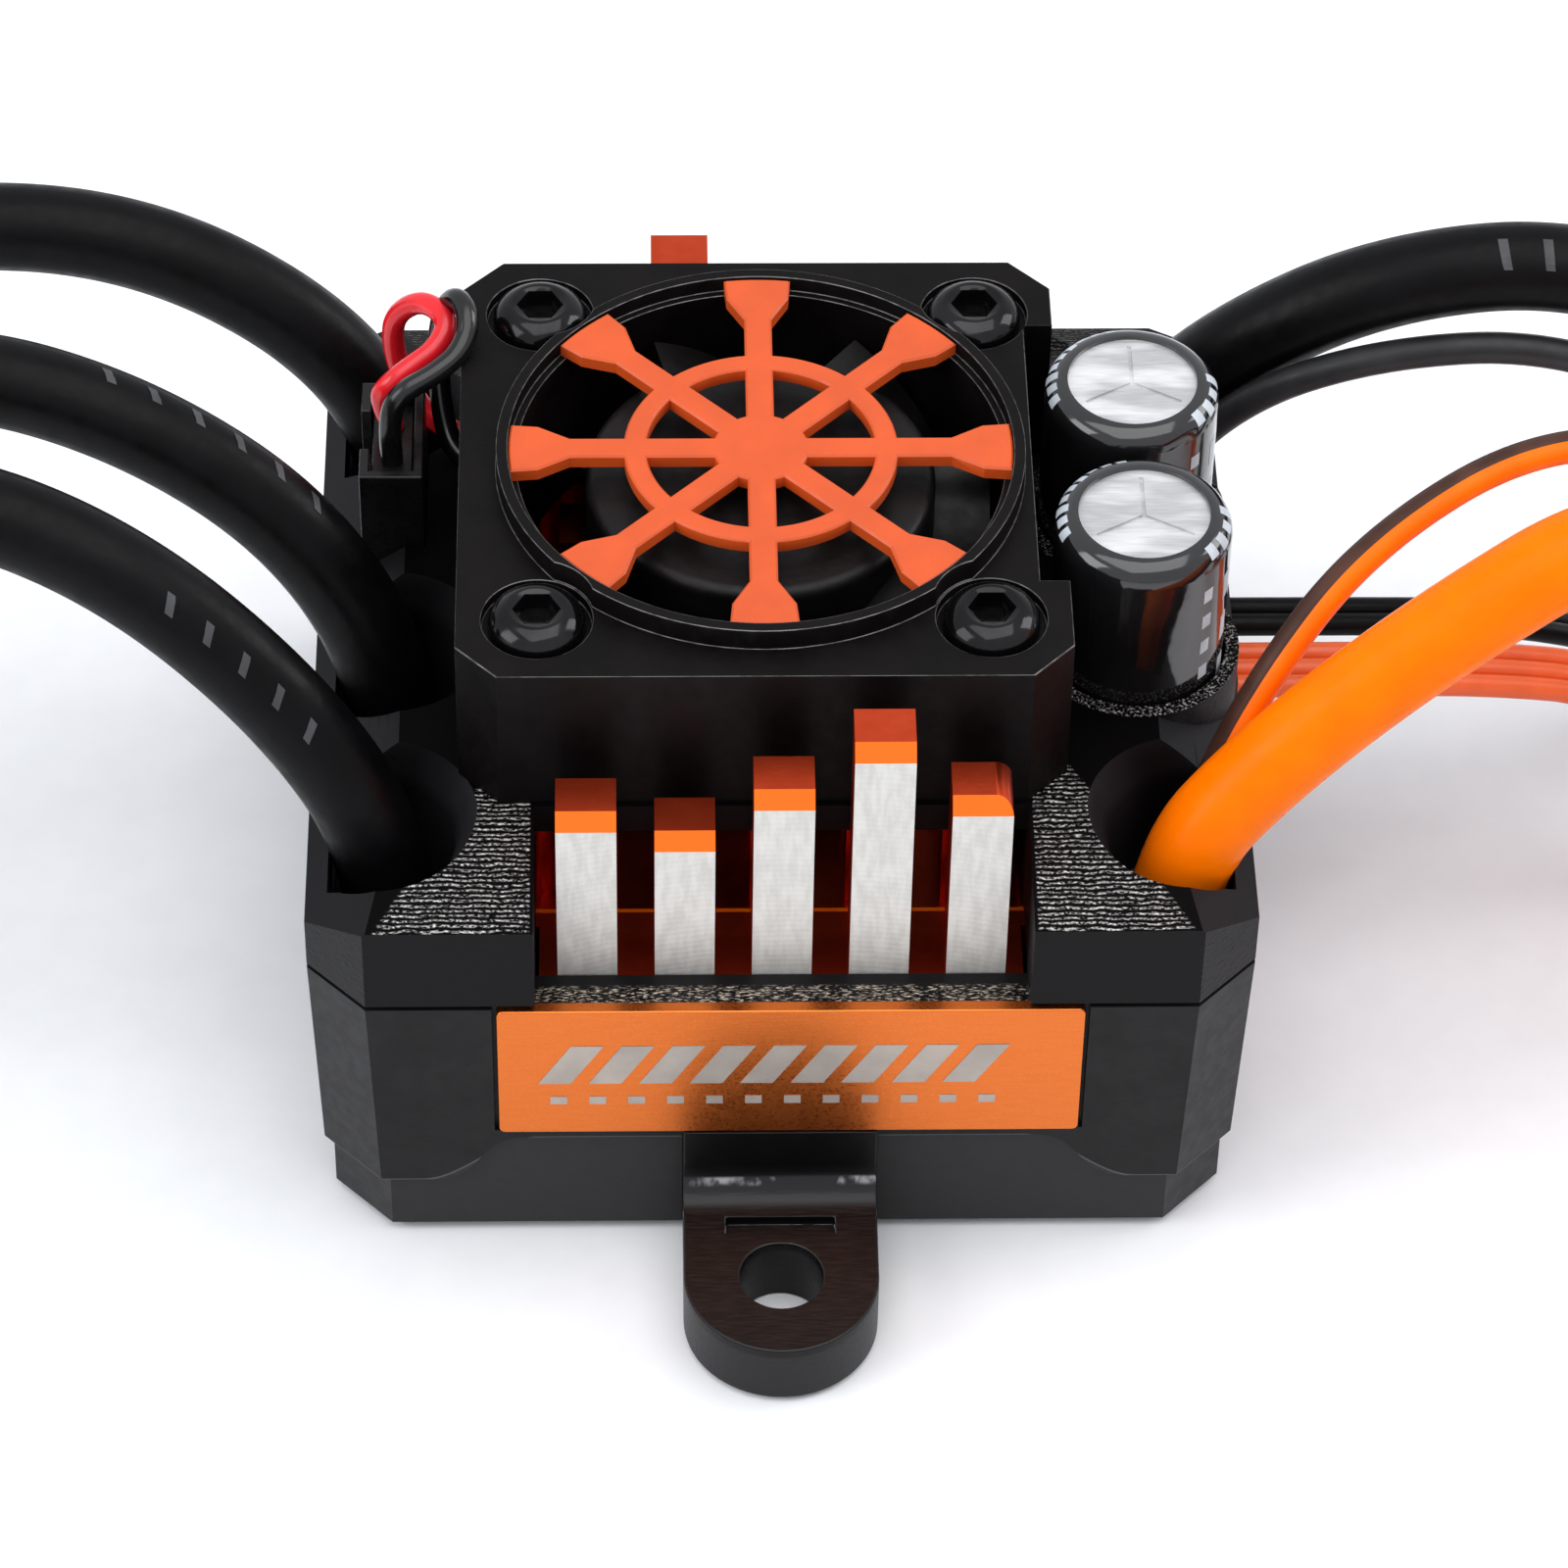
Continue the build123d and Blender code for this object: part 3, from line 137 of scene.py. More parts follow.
def plain(name, colour, roughness, spread=0.06, grain=3.0, depth=0.012, tint=0.25, **settings):
    """A moulded or painted finish: slightly uneven colour and gloss, and a fine grain."""
    finish = Finish(name, **settings)
    cloud = finish.noise(0.35, detail=4.0)
    fine = finish.noise(grain, detail=2.0)
    dark = tuple(c * (1 - tint) for c in colour[:3]) + (1.0,)
    light = tuple(min(1.0, c * (1 + tint)) for c in colour[:3]) + (1.0,)
    finish.set("Base Color", finish.mix(finish.span(cloud, 0.3, 0.7), dark, light))
    finish.set("Roughness", finish.span(finish.noise(1.1, detail=3.0), 0.3, 0.7,
                                        roughness - spread, roughness + spread))
    finish.set("Normal", finish.bump(fine, depth))
    return finish


# ---- places that the finishes follow, in mm of the CAD frame ------------------------------------
WINDOW_X = 13.4                                   # half width of the heat sink's window in the roof
SHOULDER_Y, SHOULDER_LOW = 12.7, 21.75            # where the roof's shoulders start; their lowest height
WELL_X, WELL_Y, WELL_SLOPE = 15.375, 13.6, 0.56   # a point on a shoulder's outer edge, and its slope
COLLAR_TOP = 25.84                                # height of the top of the capacitors' collar
CORNER_X = 22.1                                   # the roof's corner facets lie beyond it
SILL_X, SILL_Y, SILL_Z = 13.2, 22.75, 18.15       # the narrow ledge over a badge: half width, start, height
SILL_EDGE_Y = 24.325                              # its painted edge highlight starts here
SKIRT_X, SKIRT_Z = (13.2, 19.5), (8.3, 4.8)       # the skirt's edge falls from one height to the other
FOOT_Z = 0.675                                    # painted contact shadow: the case is darkened below this height, where it stands on the floor
FRAME_TOP = (30.0, 33.0)                          # painted highlight: the fan frame's top edges brighten over these heights
PIN_FACE_Y, PIN_CUT_Y = 21.7, 20.85               # the pins' outer faces, and the start of their chamfers, which carry a painted highlight
LIP_Y, LIP_Z = (16.65, 16.96), 17.83              # the edge of the sink's floor in front of the fan, painted as a bright highlight line
MILLING_CENTRE = (1.0, 0.0, -16.0)                # the milling arcs on the pins run round it
TAB_BEND_Z, TAB_RISER_Z = 3.1, 3.75               # a tab's bend, and the upright part over it


# ---- finishes -----------------------------------------------------------------------------------
finishes = {}


def roof_finish():
    """Black plastic; the shoulders have bright dashes in wavy rows, the capacitors' collar has specks."""
    finish = Finish("case_upper")
    across, along = finish.size(finish.place, 0), finish.size(finish.place, 1)
    height = finish.axis(finish.place, 2)
    rise = finish.axis(finish.normal, 2)
    up = finish.span(rise, 0.80, 0.93)
    # a shoulder is a triangle between the heat sink's window and the dished side of a lead well
    outer = finish.total((finish.maths("SUBTRACT", along, WELL_Y), WELL_SLOPE), (across, -1.0))
    shoulder = finish.both(up, finish.past(height, SHOULDER_LOW, 0.25), finish.past(along, SHOULDER_Y, 0.5),
                           finish.past(across, WINDOW_X, 0.05), finish.past(outer, -WELL_X, 0.175))
    ripple = finish.noise(1.0, stretch=(0.7, 0.9, 1.0), detail=2.0)
    rows = finish.total((finish.axis(finish.place, 1), 19.0), (ripple, 9.0))
    wave = finish.span(finish.maths("SINE", rows), -0.4, 1.2)
    dashes = finish.span(finish.noise(7.5, stretch=(0.7, 1.0, 1.0), detail=3.0), 0.40, 0.66)
    specks = finish.span(finish.noise(7.0, detail=3.0), 0.50, 0.74, 0.0, 0.7)
    collar = finish.past(height, COLLAR_TOP, 0.02)
    weave = finish.maths("MAXIMUM", finish.both(shoulder, wave, dashes), finish.both(collar, specks))
    # painted shade: the pattern is dulled on the rear shoulders
    weave_shaded_to_rear = finish.both(weave, finish.span(finish.axis(finish.place, 1), 2.0, 12.0, 1.0, 0.12))
    grain = finish.noise(4.0, detail=2.0)
    corner = finish.both(finish.span(rise, 0.35, 0.2), finish.past(across, CORNER_X, 0.3),
                         finish.span(finish.noise(2.2, stretch=(1.0, 1.0, 2.2), detail=2.0), 0.52, 0.66))
    # painted light and shade: darkest where it faces the ceiling, a little greyer on the walls and the side
    # facets
    side = finish.span(finish.size(finish.normal, 0), 0.3, 0.9)
    wall_shading = finish.mix(side, rgb(0.0025, 0.0022, 0.0027), rgb(0.0155, 0.015, 0.0168))
    body = finish.mix(up, wall_shading, rgb(0.0016, 0.0012, 0.0013))
    finish.set("Base Color", finish.mix(weave_shaded_to_rear, body, rgb(0.84, 0.82, 0.79)))
    shade = finish.mix(up, grey(0.11), grey(0.04))
    finish.set("Specular IOR Level", finish.mix(weave_shaded_to_rear, shade, grey(0.5)))
    finish.set("Roughness", finish.mix(weave, grey(0.46), grey(0.30)))
    finish.set("Normal", finish.bump(finish.total((weave, 1.0), (grain, 0.08), (corner, 0.25)), 0.10))
    return finish


def lower_finish():
    """Satin black plastic; the narrow sill over each badge is glossy, with painted glints and a painted
    highlight along its outer edge.
    """
    finish = Finish("case_lower", specular=0.15)
    across, along = finish.size(finish.place, 0), finish.size(finish.place, 1)
    height = finish.axis(finish.place, 2)
    up = finish.span(finish.axis(finish.normal, 2), 0.5, 0.8)
    sill = finish.both(up, finish.past(height, SILL_Z, 0.05), finish.past(along, SILL_Y, 0.15),
                       finish.short_of(across, SILL_X, 0.1))
    # painted glints: bright flecks on the sill, and a painted highlight along its outer edge
    flecks = finish.span(finish.noise(5.5, stretch=(0.6, 2.2, 1.0), detail=3.0), 0.50, 0.66)
    sill_edge_highlight = finish.maths("MULTIPLY", finish.past(along, SILL_EDGE_Y, 0.125), 0.95)
    glint_share = finish.maths("MULTIPLY", flecks, 0.7)
    sill_glints = finish.both(sill, finish.maths("MAXIMUM", glint_share, sill_edge_highlight))
    cloud = finish.span(finish.noise(0.35, detail=4.0), 0.3, 0.7)
    body = finish.mix(cloud, rgb(0.0055, 0.0052, 0.0055), rgb(0.0090, 0.0086, 0.0090))
    # painted light: the side facets are lighter
    side = finish.span(finish.size(finish.normal, 0), 0.3, 0.9)
    body = finish.mix(side, body, rgb(0.0215, 0.021, 0.0228))
    # the skirt is lighter below its upper edge, and a painted highlight makes that edge a fine lighter line:
    # level, then down in an S towards each corner
    crest = finish.span(across, *SKIRT_X, *SKIRT_Z)
    above = finish.maths("SUBTRACT", height, crest)
    outward = finish.span(finish.size(finish.normal, 1), 0.3, 0.5)
    skirt = finish.both(outward, finish.short_of(above, 0.0, 0.1))
    body = finish.mix(skirt, body, rgb(0.0215, 0.021, 0.0216))
    line = finish.both(outward, finish.short_of(finish.maths("ABSOLUTE", above), 0.07, 0.04))
    body = finish.mix(line, body, rgb(0.075, 0.073, 0.072))
    # painted contact shadow at the foot
    body = finish.mix(finish.short_of(height, FOOT_Z, 0.075), body, grey(0.001))
    finish.set("Base Color", finish.mix(sill_glints, body, rgb(0.80, 0.68, 0.54)))
    satin = finish.span(finish.noise(1.1, detail=3.0), 0.3, 0.7, 0.40, 0.50)
    finish.set("Roughness", finish.total((satin, 1.0), (sill, -0.18)))
    grain = finish.noise(2.6, detail=2.0)
    finish.set("Normal", finish.bump(finish.total((grain, 1.0), (finish.both(sill, flecks), 4.0)), 0.010))
    return finish


def fan_finish():
    """Black moulded frame with a painted highlight along its rounded top edges, strongest at the front."""
    finish = plain("fan_plastic", rgb(0.0036, 0.0027, 0.0028), 0.48, grain=3.4, depth=0.014, specular=0.10)
    rise = finish.axis(finish.normal, 2)
    # painted highlight on the frame's top edges, broken up by noise
    edge = finish.both(finish.span(rise, 0.22, 0.42), finish.span(rise, 0.99, 0.93),
                       finish.span(finish.axis(finish.place, 2), *FRAME_TOP))
    front = finish.span(finish.axis(finish.normal, 1), -0.1, -0.5, 0.35, 1.0)
    highlight_breakup = finish.span(finish.noise(2.0, stretch=(0.5, 1.0, 1.0), detail=3.0), 0.35, 0.6, 0.45, 1.0)
    edge = finish.both(edge, front, highlight_breakup)
    body = finish.shader.inputs["Base Color"].links[0].from_socket
    finish.set("Base Color", finish.mix(edge, body, rgb(0.19, 0.185, 0.18)))
    finish.set("Specular IOR Level", finish.span(edge, 0.0, 1.0, 0.10, 0.6))
    return finish


def sleeve_finish():
    """Glossy shrunk sleeve of a capacitor, very slightly wavy."""
    return plain("sleeve_gloss", rgb(0.007, 0.0068, 0.0075), 0.12, spread=0.03, grain=0.5, depth=0.05,
                 coat=0.6, coat_roughness=0.05)


def can_finish():
    """Drawn aluminium with fine brush lines across the vent."""
    finish = Finish("can_aluminium", metallic=0.6)
    lines = finish.noise(5.0, stretch=(0.15, 2.0, 1.0), detail=3.0)
    patches = finish.span(finish.noise(0.5, stretch=(0.35, 1.3, 1.0), detail=2.0), 0.38, 0.62)
    share = finish.total((lines, 0.45), (patches, 0.55))
    finish.set("Base Color", finish.mix(share, rgb(0.40, 0.40, 0.41), rgb(0.90, 0.90, 0.89)))
    finish.set("Roughness", finish.span(lines, 0.25, 0.75, 0.30, 0.48))
    finish.set("Normal", finish.bump(lines, 0.010))
    return finish


def sink_finish():
    """Anodised pins: red-orange skin, milled silver outer faces, and a painted highlight on their chamfers
    and on the floor's edge.
    """
    finish = Finish("sink_anodised", metallic=1.0)
    out, rise = finish.size(finish.normal, 1), finish.axis(finish.normal, 2)
    reach = finish.size(finish.place, 1)
    face = finish.both(finish.span(out, 0.93, 0.97), finish.past(reach, PIN_FACE_Y, 0.02))
    # painted highlight on the pins' chamfers and on the floor's edge in front of the fan
    chamfer = finish.both(finish.span(out, 0.45, 0.55), finish.span(out, 0.9, 0.8),
                          finish.span(rise, 0.45, 0.55), finish.past(reach, PIN_CUT_Y, 0.05))
    lip = finish.both(finish.past(reach, LIP_Y[0], 0.03), finish.short_of(reach, LIP_Y[1], 0.04),
                      finish.past(finish.axis(finish.place, 2), LIP_Z, 0.03))
    lit_edges = finish.maths("MAXIMUM", chamfer, lip)
    # arcs that a milling cutter leaves across a pin's face
    flat = finish.add("VectorMath", {0: finish.place, 1: (1.0, 0.0, 1.0)}, operation="MULTIPLY")
    radius = finish.add("VectorMath", {0: flat, 1: MILLING_CENTRE}, output=1, operation="DISTANCE")
    wobble = finish.noise(0.5, detail=1.0)
    arcs = finish.maths("SINE", finish.total((radius, 16.0), (wobble, 2.5)))
    streak = finish.noise(2.2, stretch=(1.0, 1.0, 0.25), detail=4.0)
    marble = finish.span(finish.total((streak, 1.0), (arcs, 0.025)), 0.30, 0.70)
    silver = finish.mix(marble, rgb(0.61, 0.596, 0.556), rgb(0.72, 0.708, 0.67))
    skin = finish.mix(finish.noise(0.8, detail=3.0), rgb(0.54, 0.050, 0.016), rgb(0.72, 0.086, 0.028))
    skin = finish.mix(lit_edges, skin, rgb(0.96, 0.15, 0.0))
    finish.set("Base Color", finish.mix(face, skin, silver))
    finish.set("Roughness", finish.mix(face, finish.mix(lit_edges, grey(0.34), grey(0.24)),
                                       finish.mix(streak, grey(0.55), grey(0.65))))
    # a brushed silver face also scatters light, so it stays even down to its foot
    finish.set("Metallic", finish.span(finish.maths("MAXIMUM", face, lit_edges), 0.0, 1.0, 1.0, 0.3))
    grain = finish.noise(5.0, detail=2.0)
    finish.set("Normal", finish.bump(finish.total((grain, 0.5), (finish.both(arcs, face), 0.24)), 0.010))
    return finish


def badge_finish():
    """Orange anodised sheet with a fine horizontal brush."""
    finish = Finish("badge_anodised", metallic=1.0)
    brush = finish.noise(4.0, stretch=(0.15, 1.0, 2.0), detail=3.0)
    speck = finish.noise(7.0, detail=2.0)
    finish.set("Base Color", finish.mix(brush, rgb(0.66, 0.152, 0.028), rgb(0.74, 0.190, 0.041)))
    finish.set("Roughness", finish.span(speck, 0.3, 0.7, 0.27, 0.36))
    finish.set("Normal", finish.bump(finish.maths("ADD", speck, brush), 0.004))
    return finish


def tab_finish():
    """Black anodised ear: brushed top with a painted brown reflection, and a glossy bend with a painted
    sheen and a painted glint along its upper edge.
    """
    finish = Finish("tab_anodised", specular=0.18)
    brush = finish.noise(2.6, stretch=(0.3, 3.0, 1.0), detail=5.0)
    rise = finish.axis(finish.normal, 2)
    height = finish.axis(finish.place, 2)
    top = finish.span(rise, 0.9, 0.98)
    # painted sheen on the bend, and a painted glint along its upper edge
    bend = finish.both(finish.span(rise, 0.32, 0.46), finish.span(rise, 0.97, 0.9))
    glint_breakup = finish.span(finish.noise(0.7, stretch=(1.0, 0.6, 0.6), detail=5.0), 0.46, 0.60)
    glint = finish.both(finish.span(rise, 0.36, 0.46), finish.span(rise, 0.66, 0.54),
                        finish.past(height, TAB_BEND_Z, 0.1), glint_breakup)
    riser = finish.both(finish.span(rise, 0.46, 0.34), finish.past(height, TAB_RISER_Z, 0.15))
    # painted reflection of the orange badge on the brushed top
    top_reflection = finish.mix(finish.span(brush, 0.35, 0.7), rgb(0.0062, 0.0034, 0.0030),
                       rgb(0.0150, 0.0085, 0.0075))
    body = finish.mix(top, rgb(0.012, 0.0115, 0.0122), top_reflection)
    body = finish.mix(riser, body, rgb(0.0018, 0.0014, 0.0016))
    body = finish.mix(bend, body, rgb(0.020, 0.020, 0.021))
    finish.set("Base Color", finish.mix(glint, body, rgb(0.30, 0.30, 0.31)))
    finish.set("Roughness", finish.mix(bend, finish.mix(brush, grey(0.34), grey(0.50)), grey(0.22)))
    finish.set("Normal", finish.bump(finish.total((brush, 1.0), (glint, 1.5)), 0.015))
    return finish


for key, make in (("upper", roof_finish), ("lower", lower_finish), ("fan_plastic", fan_finish),
                  ("sleeve", sleeve_finish), ("can", can_finish), ("sink", sink_finish),
                  ("badge", badge_finish), ("tab", tab_finish)):
    finishes[key] = make()

# plain ones: the material's name, colour, roughness and other settings
NYLON, RUBBER = dict(grain=2.2), dict(grain=1.6)   # their grain is shared
PLAIN = {
    "rotor": ("rotor_plastic", rgb(0.0058, 0.0048, 0.0050), 0.42,
              dict(grain=2.0, depth=0.014, specular=0.22)),
    "socket": ("socket_nylon", grey(0.004), 0.28, dict(NYLON, depth=0.006, specular=0.3)),
    "connector": ("connector_nylon", rgb(0.010, 0.010, 0.011), 0.38, dict(NYLON, depth=0.012)),
    "slider": ("slider_nylon", rgb(0.02, 0.02, 0.022), 0.4, {}),
    "seal": ("seal_rubber", grey(0.006), 0.6, dict(grain=1.5, depth=0.03)),
    "sleeve_shrunk": ("sleeve_shrunk", grey(0.008), 0.33, dict(grain=0.8, depth=0.04)),
    "lead_black": ("lead_black", rgb(0.0022, 0.0020, 0.0024), 0.40,
                   dict(RUBBER, depth=0.016, specular=0.11)),
    "lead_orange": ("lead_orange", rgb(0.96, 0.168, 0.0), 0.30,
                    dict(grain=1.4, depth=0.010, tint=0.06, specular=0.07)),
    "ribbon_orange": ("ribbon_orange", rgb(0.80, 0.105, 0.012), 0.36,
                      dict(grain=1.4, depth=0.010, tint=0.08)),
    "stripe_orange": ("stripe_orange", rgb(1.0, 0.15, 0.0), 0.4,
                      dict(RUBBER, depth=0.012, tint=0.08, specular=0.15)),
    "lead_brown": ("lead_brown", rgb(0.060, 0.026, 0.018), 0.4, dict(RUBBER, depth=0.012, specular=0.15)),
    "lead_red": ("lead_red", rgb(0.72, 0.012, 0.020), 0.2, dict(RUBBER, depth=0.008, tint=0.15)),
    "fan_black": ("fan_black", grey(0.005), 0.2, dict(RUBBER, depth=0.006)),
    "thin_black": ("thin_black", rgb(0.017, 0.017, 0.0185), 0.42, dict(RUBBER, depth=0.012, specular=0.3)),
    "lead_print": ("lead_print", rgb(0.038, 0.038, 0.041), 0.5, dict(grain=2.2, depth=0.01, tint=0.3)),
    "print": ("print_grey", rgb(0.46, 0.50, 0.54), 0.45, dict(grain=2.2, depth=0.01, tint=0.2)),
    "mark": ("mark_silver", rgb(0.40, 0.35, 0.31), 0.45,
             dict(grain=4.0, depth=0.012, tint=0.1, metallic=0.5)),
    "guard": ("guard_paint", rgb(0.60, 0.076, 0.008), 0.47, dict(grain=4.5, depth=0.010, tint=0.06)),
    "screw": ("screw_black", rgb(0.026, 0.025, 0.026), 0.12, dict(grain=2.0, depth=0.006, metallic=0.9)),
    "brass": ("contact_brass", rgb(0.80, 0.52, 0.16), 0.24,
              dict(grain=1.2, depth=0.006, tint=0.08, metallic=1.0)),
    "steel": ("wire_steel", rgb(0.55, 0.54, 0.53), 0.3, dict(tint=0.1, metallic=1.0)),
    "board": ("board_green", rgb(0.01, 0.07, 0.03), 0.35, {}),
    "chip": ("chip_black", rgb(0.015, 0.015, 0.016), 0.5, {}),
    "pad": ("pad_grey", rgb(0.30, 0.30, 0.32), 0.7, {}),
}
for key, (name, colour, roughness, settings) in PLAIN.items():
    finishes[key] = plain(name, colour, roughness, **settings)

# finishes of the CAD's own pieces; those left out are replaced below
NODE_FINISH = {
    "upper": ["upper_case"],
    "lower": ["lower_case"],
    "seal": ["case_gasket", "well_seals", "wire_grommet"],
    "screw": ["case_screws"],
    "tab": ["mount_tab_front", "mount_tab_rear"],
    "sink": ["heat_sink"],
    "pad": ["thermal_pad"],
    "board": ["main_board", "control_board", "capacitor_board", "fan_board"],
    "chip": ["power_transistors", "control_chips", "board_header"],
    "brass": ["lead_posts", "battery_contacts", "motor_plug_front", "motor_plug_middle", "motor_plug_rear",
              "fan_bearing"],
    "steel": ["capacitor_legs", "socket_pins", "fan_shaft", "fan_stator"],
    "can": ["capacitor_can_front", "capacitor_can_rear"],
    "sleeve": ["capacitor_sleeve_front", "capacitor_sleeve_rear"],
    "fan_plastic": ["fan_frame"],
    "guard": ["fan_guard"],
    "rotor": ["fan_rotor", "fan_magnet"],
    "socket": ["fan_socket", "fan_plug"],
    "connector": ["battery_connector", "receiver_plug", "switch_housing"],
    "sleeve_shrunk": ["plug_sleeves"],
    "slider": ["switch_slider"],
}
for key, names in NODE_FINISH.items():
    for name in names:
        for material_slot in nodes[name].material_slots:
            material_slot.material = finishes[key].material

# worn, slightly rounded edges: width in mm
EDGE_ANGLE = radians(32)
EDGES = {"upper_case": 0.16, "lower_case": 0.16, "fan_frame": 0.14, "heat_sink": 0.08, "fan_guard": 0.07,
         "mount_tab_front": 0.12, "mount_tab_rear": 0.12, "fan_socket": 0.08, "fan_plug": 0.08,
         "battery_connector": 0.20, "receiver_plug": 0.12, "switch_housing": 0.15, "switch_slider": 0.08}


def round_edges(piece, width):
    edge = piece.modifiers.new("edge", "BEVEL")
    edge.width, edge.segments = width * MM, 2
    edge.limit_method, edge.angle_limit = "ANGLE", EDGE_ANGLE


for name, width in EDGES.items():
    weld = nodes[name].modifiers.new("weld", "WELD")
    weld.merge_threshold = 1e-6
    round_edges(nodes[name], width)
    even = nodes[name].modifiers.new("even", "WEIGHTED_NORMAL")
    even.keep_sharp = True


# ---- pieces -------------------------------------------------------------------------------------
def add_piece(name, mesh_or_curve, finish, body="root", replaced=()):
    piece = bpy.data.objects.new(name, mesh_or_curve)
    bpy.context.scene.collection.objects.link(piece)
    for one in finish if isinstance(finish, list) else [finish]:
        mesh_or_curve.materials.append(finishes[one].material)
    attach(piece, body)
    if replaced:
        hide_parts(*replaced)
    return piece


def mesh_from(name, build):
    bmesh.ops.recalc_face_normals(build, faces=build.faces)
    mesh = bpy.data.meshes.new(name)
    build.to_mesh(mesh)
    build.free()
    return mesh


def in_metres(points):
    return [tuple(value * MM for value in point) for point in points]


def smooth_curve(name, points, diameter=0.0):
    """A NURBS spline with the route's points as its control points, in metres."""
    curve = bpy.data.curves.new(name, "CURVE")
    curve.dimensions = "3D"
    curve.resolution_u = 16
    curve.twist_mode = "MINIMUM"
    spline = curve.splines.new("NURBS")
    spline.points.add(len(points) - 1)
    for control, place in zip(spline.points, points):
        control.co = (*place, 1.0)
    spline.order_u = 3
    spline.use_endpoint_u = True
    spline.use_smooth = True
    curve.bevel_depth = diameter / 2
    curve.bevel_resolution = 7
    curve.use_fill_caps = diameter > 0
    return curve


def line_of(points):
    """Points along the route's spline."""
    holder = bpy.data.objects.new("route", smooth_curve("route", points))
    mesh = bpy.data.meshes.new_from_object(holder)
    line = [vertex.co.copy() for vertex in mesh.vertices]
    bpy.data.objects.remove(holder)
    bpy.data.meshes.remove(mesh)
    return line


def strand_mesh(name, line, strands, radius, rounds=14):
    """Tubes side by side along one line; strands gives each one's offset across and up, its radius
    factor and its material index.  Each tube is closed at both ends."""
    build = bmesh.new()
    for across, up, factor, material in strands:
        rings = []
        for i, place in enumerate(line):
            ahead = (line[min(i + 1, len(line) - 1)] - line[max(i - 1, 0)]).normalized()
            side = Vector((0, 0, 1)).cross(ahead).normalized()
            top = ahead.cross(side)
            middle = place + side * across + top * up
            rings.append([build.verts.new(middle + (side * cos(2 * pi * k / rounds)
                                                    + top * sin(2 * pi * k / rounds)) * radius * factor)
                          for k in range(rounds)])
        for low, high in zip(rings, rings[1:]):
            for k in range(rounds):
                face = build.faces.new((low[k], low[(k + 1) % rounds], high[(k + 1) % rounds], high[k]))
                face.smooth, face.material_index = True, material
        for ring, order in ((rings[0], -1), (rings[-1], 1)):
            build.faces.new(ring[::order]).material_index = material
    return mesh_from(name, build)


# ---- leads: the CAD's routes in mm, moved a little to follow the picture ------------------------
LEAD_D, THIN_D, FAN_LEAD_D = 5.0, 1.8, 1.25
ROUTES = {
    "motor_lead_front": [
        (-20.7, -17.1, 12.4), (-20.7, -17.1, 22.8), (-25.8, -14.7, 31.6), (-35, -11.2, 39.0),
        (-45.5, -8.0, 41.3), (-56, -7.6, 37.9), (-62.6, -9.2, 28), (-66.2, -10.3, 17.6),
        (-71.8, -11, 8), (-80.3, -11.4, 3), (-90, -11.4, 3)],
    "motor_lead_middle": [
        (-20.7, -4, 12.4), (-20.7, -4, 22.8), (-25.6, -1.5, 32.0), (-34.6, 0.8, 38), (-45, 3.2, 39.8),
        (-55.4, 4.4, 35.8), (-62.2, 4.8, 27.2), (-66.2, 5, 17.2), (-72, 5, 7.9), (-80.4, 5, 3),
        (-90, 5, 3)],
    "motor_lead_rear": [
        (-20.7, 15.8, 12.4), (-20.7, 15.8, 22), (-25.4, 17.2, 29.6), (-34.6, 18.8, 34.8),
        (-45, 20.0, 35.4), (-55.2, 20.7, 32), (-62.4, 21, 25), (-67.2, 21.2, 16.6),
        (-73, 21.4, 7.4), (-80.8, 21.4, 3), (-90, 21.4, 3)],
    "battery_lead_black": [
        (20.7, 16.9, 12.4), (20.7, 16.9, 21.9), (25.6, 15.6, 29.4), (34, 14.6, 35.6),
        (44.5, 13.4, 38), (54.6, 11.2, 34.6), (61.4, 8.8, 25.8), (65.6, 7, 16.2), (72.6, 5.2, 7.4),
        (82.5, 4.5, 4.2)],
    "battery_lead_orange": [
        (20.7, -18.2, 12.4), (20.7, -18.2, 22.6), (25.9, -16.4, 28.9), (34.3, -13.8, 35.5),
        (44.4, -10.8, 41.2), (54.6, -9.8, 37.4), (61.6, -8.4, 28.8), (65.8, -6.6, 18.6),
        (72.2, -5, 8.8), (82.5, -4.5, 4.2)],
    "thin_lead_black": [
        (21.5, 13.5, 11.1), (21.5, 13.5, 20.2), (26, 12.4, 28.4), (33.6, 11.4, 32.8),
        (43.2, 10.4, 34.4), (52.6, 8.4, 31.2), (59.6, 5, 22.8), (64.6, 3.2, 14.6), (73, 1.4, 8.4),
        (82.5, 1.2, 6.6)],
    "thin_lead_orange": [
        (21.7, -14.8, 11.1), (21.7, -14.8, 21), (25.2, -12.3, 30), (31, -7.9, 36.6),
        (40.6, -3.5, 40.3), (51, -2.0, 37.6), (59.6, -1.6, 29.4), (65.2, -1.2, 19.2), (72.8, -1, 10.6),
        (82.5, -1.2, 6.6)],
    "receiver_lead": [
        (22.9, 2.2, 17.1), (32, 2.2, 17.1), (40, 2.8, 16.6), (48, 3.2, 15.2), (55.4, -0.8, 10.8),
        (62, -7.6, 4.4), (68.6, -13.6, 0.9), (77, -16.6, 0.9), (86, -17, 0.9), (92.5, -20.5, 0.9),
        (94.2, -25.8, 0.9), (92.5, -31.1, 0.9), (88, -34.4, 0.9), (81.5, -34.6, 0.9),
        (73.5, -33.6, 1.1), (66.5, -32.6, 1.3)],
    "switch_lead": [
        (22.9, 6.5, 17.1), (32.4, 6.5, 17.1), (42, 9, 14.6), (50.2, 12.6, 9), (57.8, 16.8, 3.4),
        (66, 20.4, 0.9), (75.2, 20.6, 0.9), (80.6, 18.6, 0.9), (86, 19, 0.9), (89.4, 21.5, 0.9),
        (90.7, 25.5, 0.9), (89.4, 29.5, 0.9), (86, 32, 0.9), (81.4, 32.5, 1.0), (77, 32.3, 1.2)],
}
